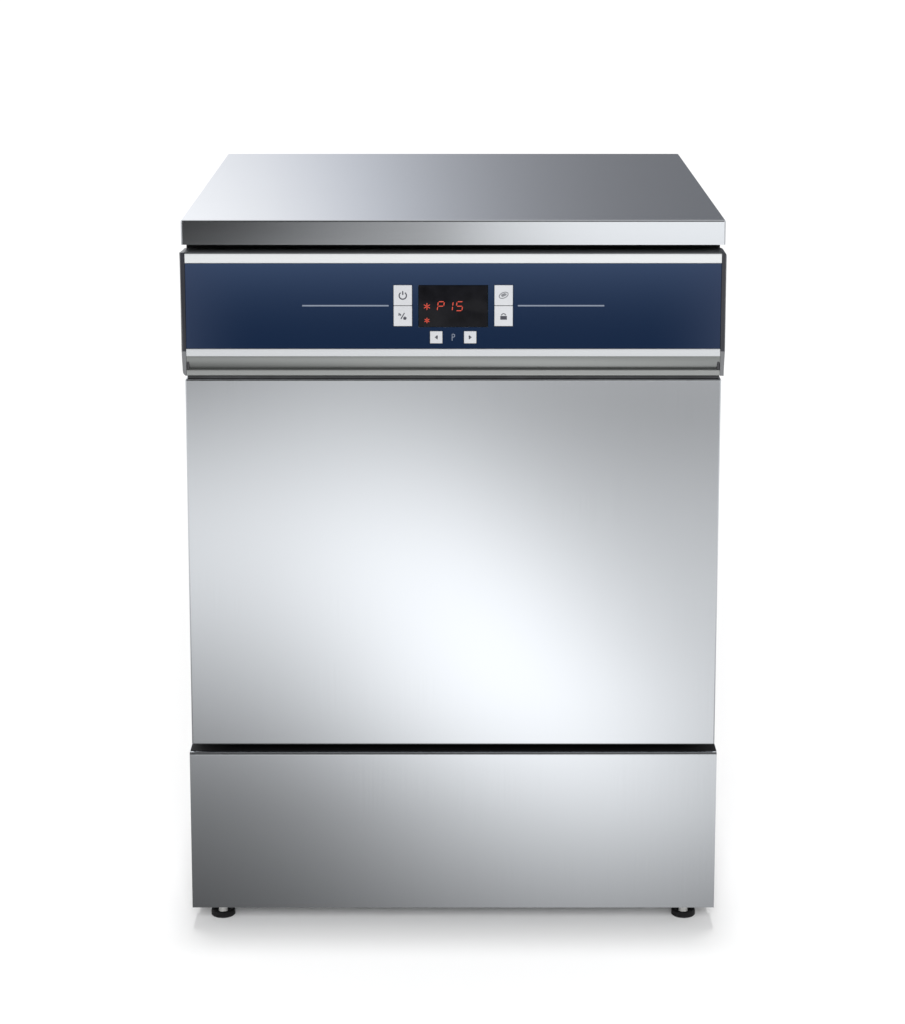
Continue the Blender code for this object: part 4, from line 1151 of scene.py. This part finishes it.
def make_floor():
    mat = bpy.data.materials.new("pale_floor")
    mat.use_nodes = True
    shader = mat.node_tree.nodes["Principled BSDF"]
    shader.inputs["Base Color"].default_value = (0.88, 0.88, 0.88, 1.0)
    shader.inputs["Roughness"].default_value = 1.0
    shader.inputs["Specular IOR Level"].default_value = 0.0
    bm = bmesh.new()
    bmesh.ops.create_grid(bm, x_segments=1, y_segments=1, size=30.0)
    mesh = bpy.data.meshes.new("floor")
    bm.to_mesh(mesh)
    bm.free()
    stage_object("floor", mesh, mat)


def ease(value, start, end):
    """0 before start, 1 after end, and a smooth rise between them."""
    t = min(1.0, max(0.0, (value - start) / (end - start)))
    return t * t * (3 - 2 * t)


def hump(value, centre, width):
    return math.exp(-(((value - centre) / width) ** 2))


def far_front_glow(x, y, z):
    """Dark at the left and bright at the right, which the worktop's lip reflects; dim higher up."""
    if x < 0.04:
        level = 0.02 + 0.50 * (1 - ease(-x, 0.0, 0.88))
    else:
        level = 0.95 + 0.47 * ease(x, 0.04, 0.45)
    return level * (1 - 0.85 * ease(z, 0.7, 1.6))


def floor_glow(x, y, z):
    """A soft pool of light in front of the machine, fading towards it and to the left."""
    ahead = -y
    if ahead < 0.3:
        away = max(abs(x) - 0.3, abs(y) - 0.32, 0.0)
        return 0.55 + 0.55 * ease(away, 0.0, 1.6)
    middle = 0.18 if ahead < 0.7 else 0.285 - 0.15 * ahead
    if ahead < 1.3:
        peak = 1.78 * hump(ahead, 1.3, 0.86)
    else:
        peak = 1.78 - 0.94 * ease(ahead, 1.6, 3.8)
    if x < middle:
        fade = 0.80 - 0.48 * ease(ahead, 0.7, 2.3) + 0.28 * ease(ahead, 2.7, 3.7)
        width = 0.30
    else:
        fade = 0.40 + 0.12 * ease(ahead, 0.4, 1.0) + 0.10 * ease(ahead, 2.6, 3.6)
        width = 0.21 + 0.12 * ease(ahead, 2.2, 3.6)
    pool = peak * (1 - fade * (1 - hump(x, middle, width)))
    beside = ease(abs(x), 0.9, 2.2)
    pool += (0.95 - pool) * beside
    far = ease(ahead, 3.9, 4.6)
    return pool + (far_front_glow(x, y, z) - pool) * far


def back_glow(x, y, z):
    """Bright at the left and dark at the right, which the worktop reflects at a glancing angle."""
    left = 1 / (1 + math.exp((x + 0.22) / 0.20))
    level = 0.19 + left * (0.92 + 0.35 * ease(z, 1.08, 1.26))
    return level + (0.80 - level) * ease(abs(x), 0.95, 2.2)


def even_glow(x, y, z):
    return 0.75 + 0.35 * ease(z, 0.0, 3.0)


def ceiling_glow(x, y, z):
    return 0.15 + 0.90 * ease(y, -2.0, 0.8)


def tinted(level, cool):
    """A grey level that turns slightly blue where it is dim, as far as cool says."""
    blue = cool * (1 - 0.75 * ease(level, 0.6, 1.2))
    return (level * (1 - 0.045 * blue), level * (1 - 0.012 * blue), level * (1 + 0.075 * blue), 1.0)


def glow_sheet(name, corner, along, up, cells, brightness, cool, mat):
    """A wall of light that is seen in reflections only, as bright at each point as brightness says."""
    machine_x, machine_y, low = 0.31, 0.325, 0.01
    corner, along, up = Vector(corner), Vector(along), Vector(up)
    columns, rows = cells
    spots = []
    for row in range(rows + 1):
        for column in range(columns + 1):
            spots.append(corner + along * (column / columns) + up * (row / rows))
    faces = []
    for row in range(rows):
        for column in range(columns):
            first = row * (columns + 1) + column
            middle = (spots[first] + spots[first + columns + 2]) / 2
            if middle.z > low or abs(middle.x) > machine_x or abs(middle.y) > machine_y:
                faces.append((first, first + 1, first + columns + 2, first + columns + 1))
    mesh = bpy.data.meshes.new(name)
    mesh.from_pydata(spots, [], faces)
    layer = mesh.color_attributes.new("glow", "FLOAT_COLOR", "POINT")
    for entry, spot in zip(layer.data, spots):
        entry.color = tinted(brightness(*spot), cool)
    sheet = stage_object(name, mesh, mat)
    sheet.visible_camera = False
    sheet.visible_diffuse = False
    sheet.visible_shadow = False
    sheet.visible_transmission = False


def make_glow_room():
    mat = bpy.data.materials.new("studio_glow")
    mat.use_nodes = True
    nodes, links = mat.node_tree.nodes, mat.node_tree.links
    nodes.clear()
    level = nodes.new("ShaderNodeAttribute")
    level.attribute_name = "glow"
    light = nodes.new("ShaderNodeEmission")
    out = nodes.new("ShaderNodeOutputMaterial")
    links.new(level.outputs["Color"], light.inputs["Color"])
    links.new(light.outputs["Emission"], out.inputs["Surface"])
    mat.cycles.emission_sampling = "NONE"
    near, wide, back, high = -7.5, 4.5, 2.5, 4.5
    depth = back - near
    lift = 0.0008
    sheets = (
        ("glow_floor", (-wide, near, lift), (2 * wide, 0, 0), (0, depth, 0), (180, 200), floor_glow, 0.0),
        ("glow_front", (-wide, near, 0), (2 * wide, 0, 0), (0, 0, high), (90, 40), far_front_glow, 0.0),
        ("glow_back", (-wide, back, 0), (2 * wide, 0, 0), (0, 0, high), (90, 40), back_glow, 1.0),
        ("glow_left", (-wide, near, 0), (0, depth, 0), (0, 0, high), (20, 20), even_glow, 0.0),
        ("glow_right", (wide, near, 0), (0, depth, 0), (0, 0, high), (20, 20), even_glow, 0.0),
        ("glow_above", (-wide, near, high), (2 * wide, 0, 0), (0, depth, 0), (10, 40), ceiling_glow, 0.0),
    )
    for sheet in sheets:
        glow_sheet(*sheet, mat)


def broad_light(name, elevation, spread_degrees, level):
    """Soft light from in front or above that steel doesn't mirror; level is its share on the floor."""
    data = bpy.data.lights.new(name, "SUN")
    data.angle = math.radians(spread_degrees)
    data.energy = level * math.pi / math.sin(math.radians(elevation))
    lamp = bpy.data.objects.new(name, data)
    lamp.rotation_euler = (math.radians(90 - elevation), 0, 0)
    lamp.visible_glossy = False
    bpy.context.scene.collection.objects.link(lamp)


def make_lights():
    broad_light("front_light", 27, 22, 0.37)
    broad_light("top_light", 93, 6.5, 0.39)


def make_world():
    """An even sky that is white where the camera sees it, and dimmer as a light."""
    world = bpy.data.worlds.new("studio")
    world.use_nodes = True
    nodes, links = world.node_tree.nodes, world.node_tree.links
    ray = nodes.new("ShaderNodeLightPath")
    level = nodes.new("ShaderNodeMapRange")
    level.inputs["To Min"].default_value = 0.46
    level.inputs["To Max"].default_value = 1.05
    nodes["Background"].inputs["Color"].default_value = (1.0, 1.0, 1.0, 1.0)
    links.new(ray.outputs["Is Camera Ray"], level.inputs["Value"])
    links.new(level.outputs["Result"], nodes["Background"].inputs["Strength"])
    bpy.context.scene.world = world


def make_studio():
    make_world()
    bpy.context.scene.view_settings.view_transform = "Standard"
    make_floor()
    make_lights()
    make_glow_room()


def make_camera():
    data = bpy.data.cameras.new("camera")
    data.sensor_width = 36.0
    data.lens = 96.13
    data.shift_x = -0.0007
    data.shift_y = -0.1465
    camera = bpy.data.objects.new("camera", data)
    away, height, tilt = 2.9623, 1.2299, 10.849
    camera.location = (0.0, FRONT - away, height)
    camera.rotation_euler = (math.radians(90 - tilt), 0, 0)
    bpy.context.scene.collection.objects.link(camera)
    bpy.context.scene.camera = camera


make_camera()
make_studio()
make_worktop()
make_sides()
make_kick()
make_door_skin()
make_console()
make_buttons()
make_icons()
make_display()
make_fascia_print()
make_feet()
make_back()
make_tub()
make_gasket()
make_liner()
make_gap_shadow_strips()
make_console_cover()
make_top_shadow_seal()
make_rack()
make_spray_arms()
make_chamber_fittings()
keep_machinery()

flatten_shading()
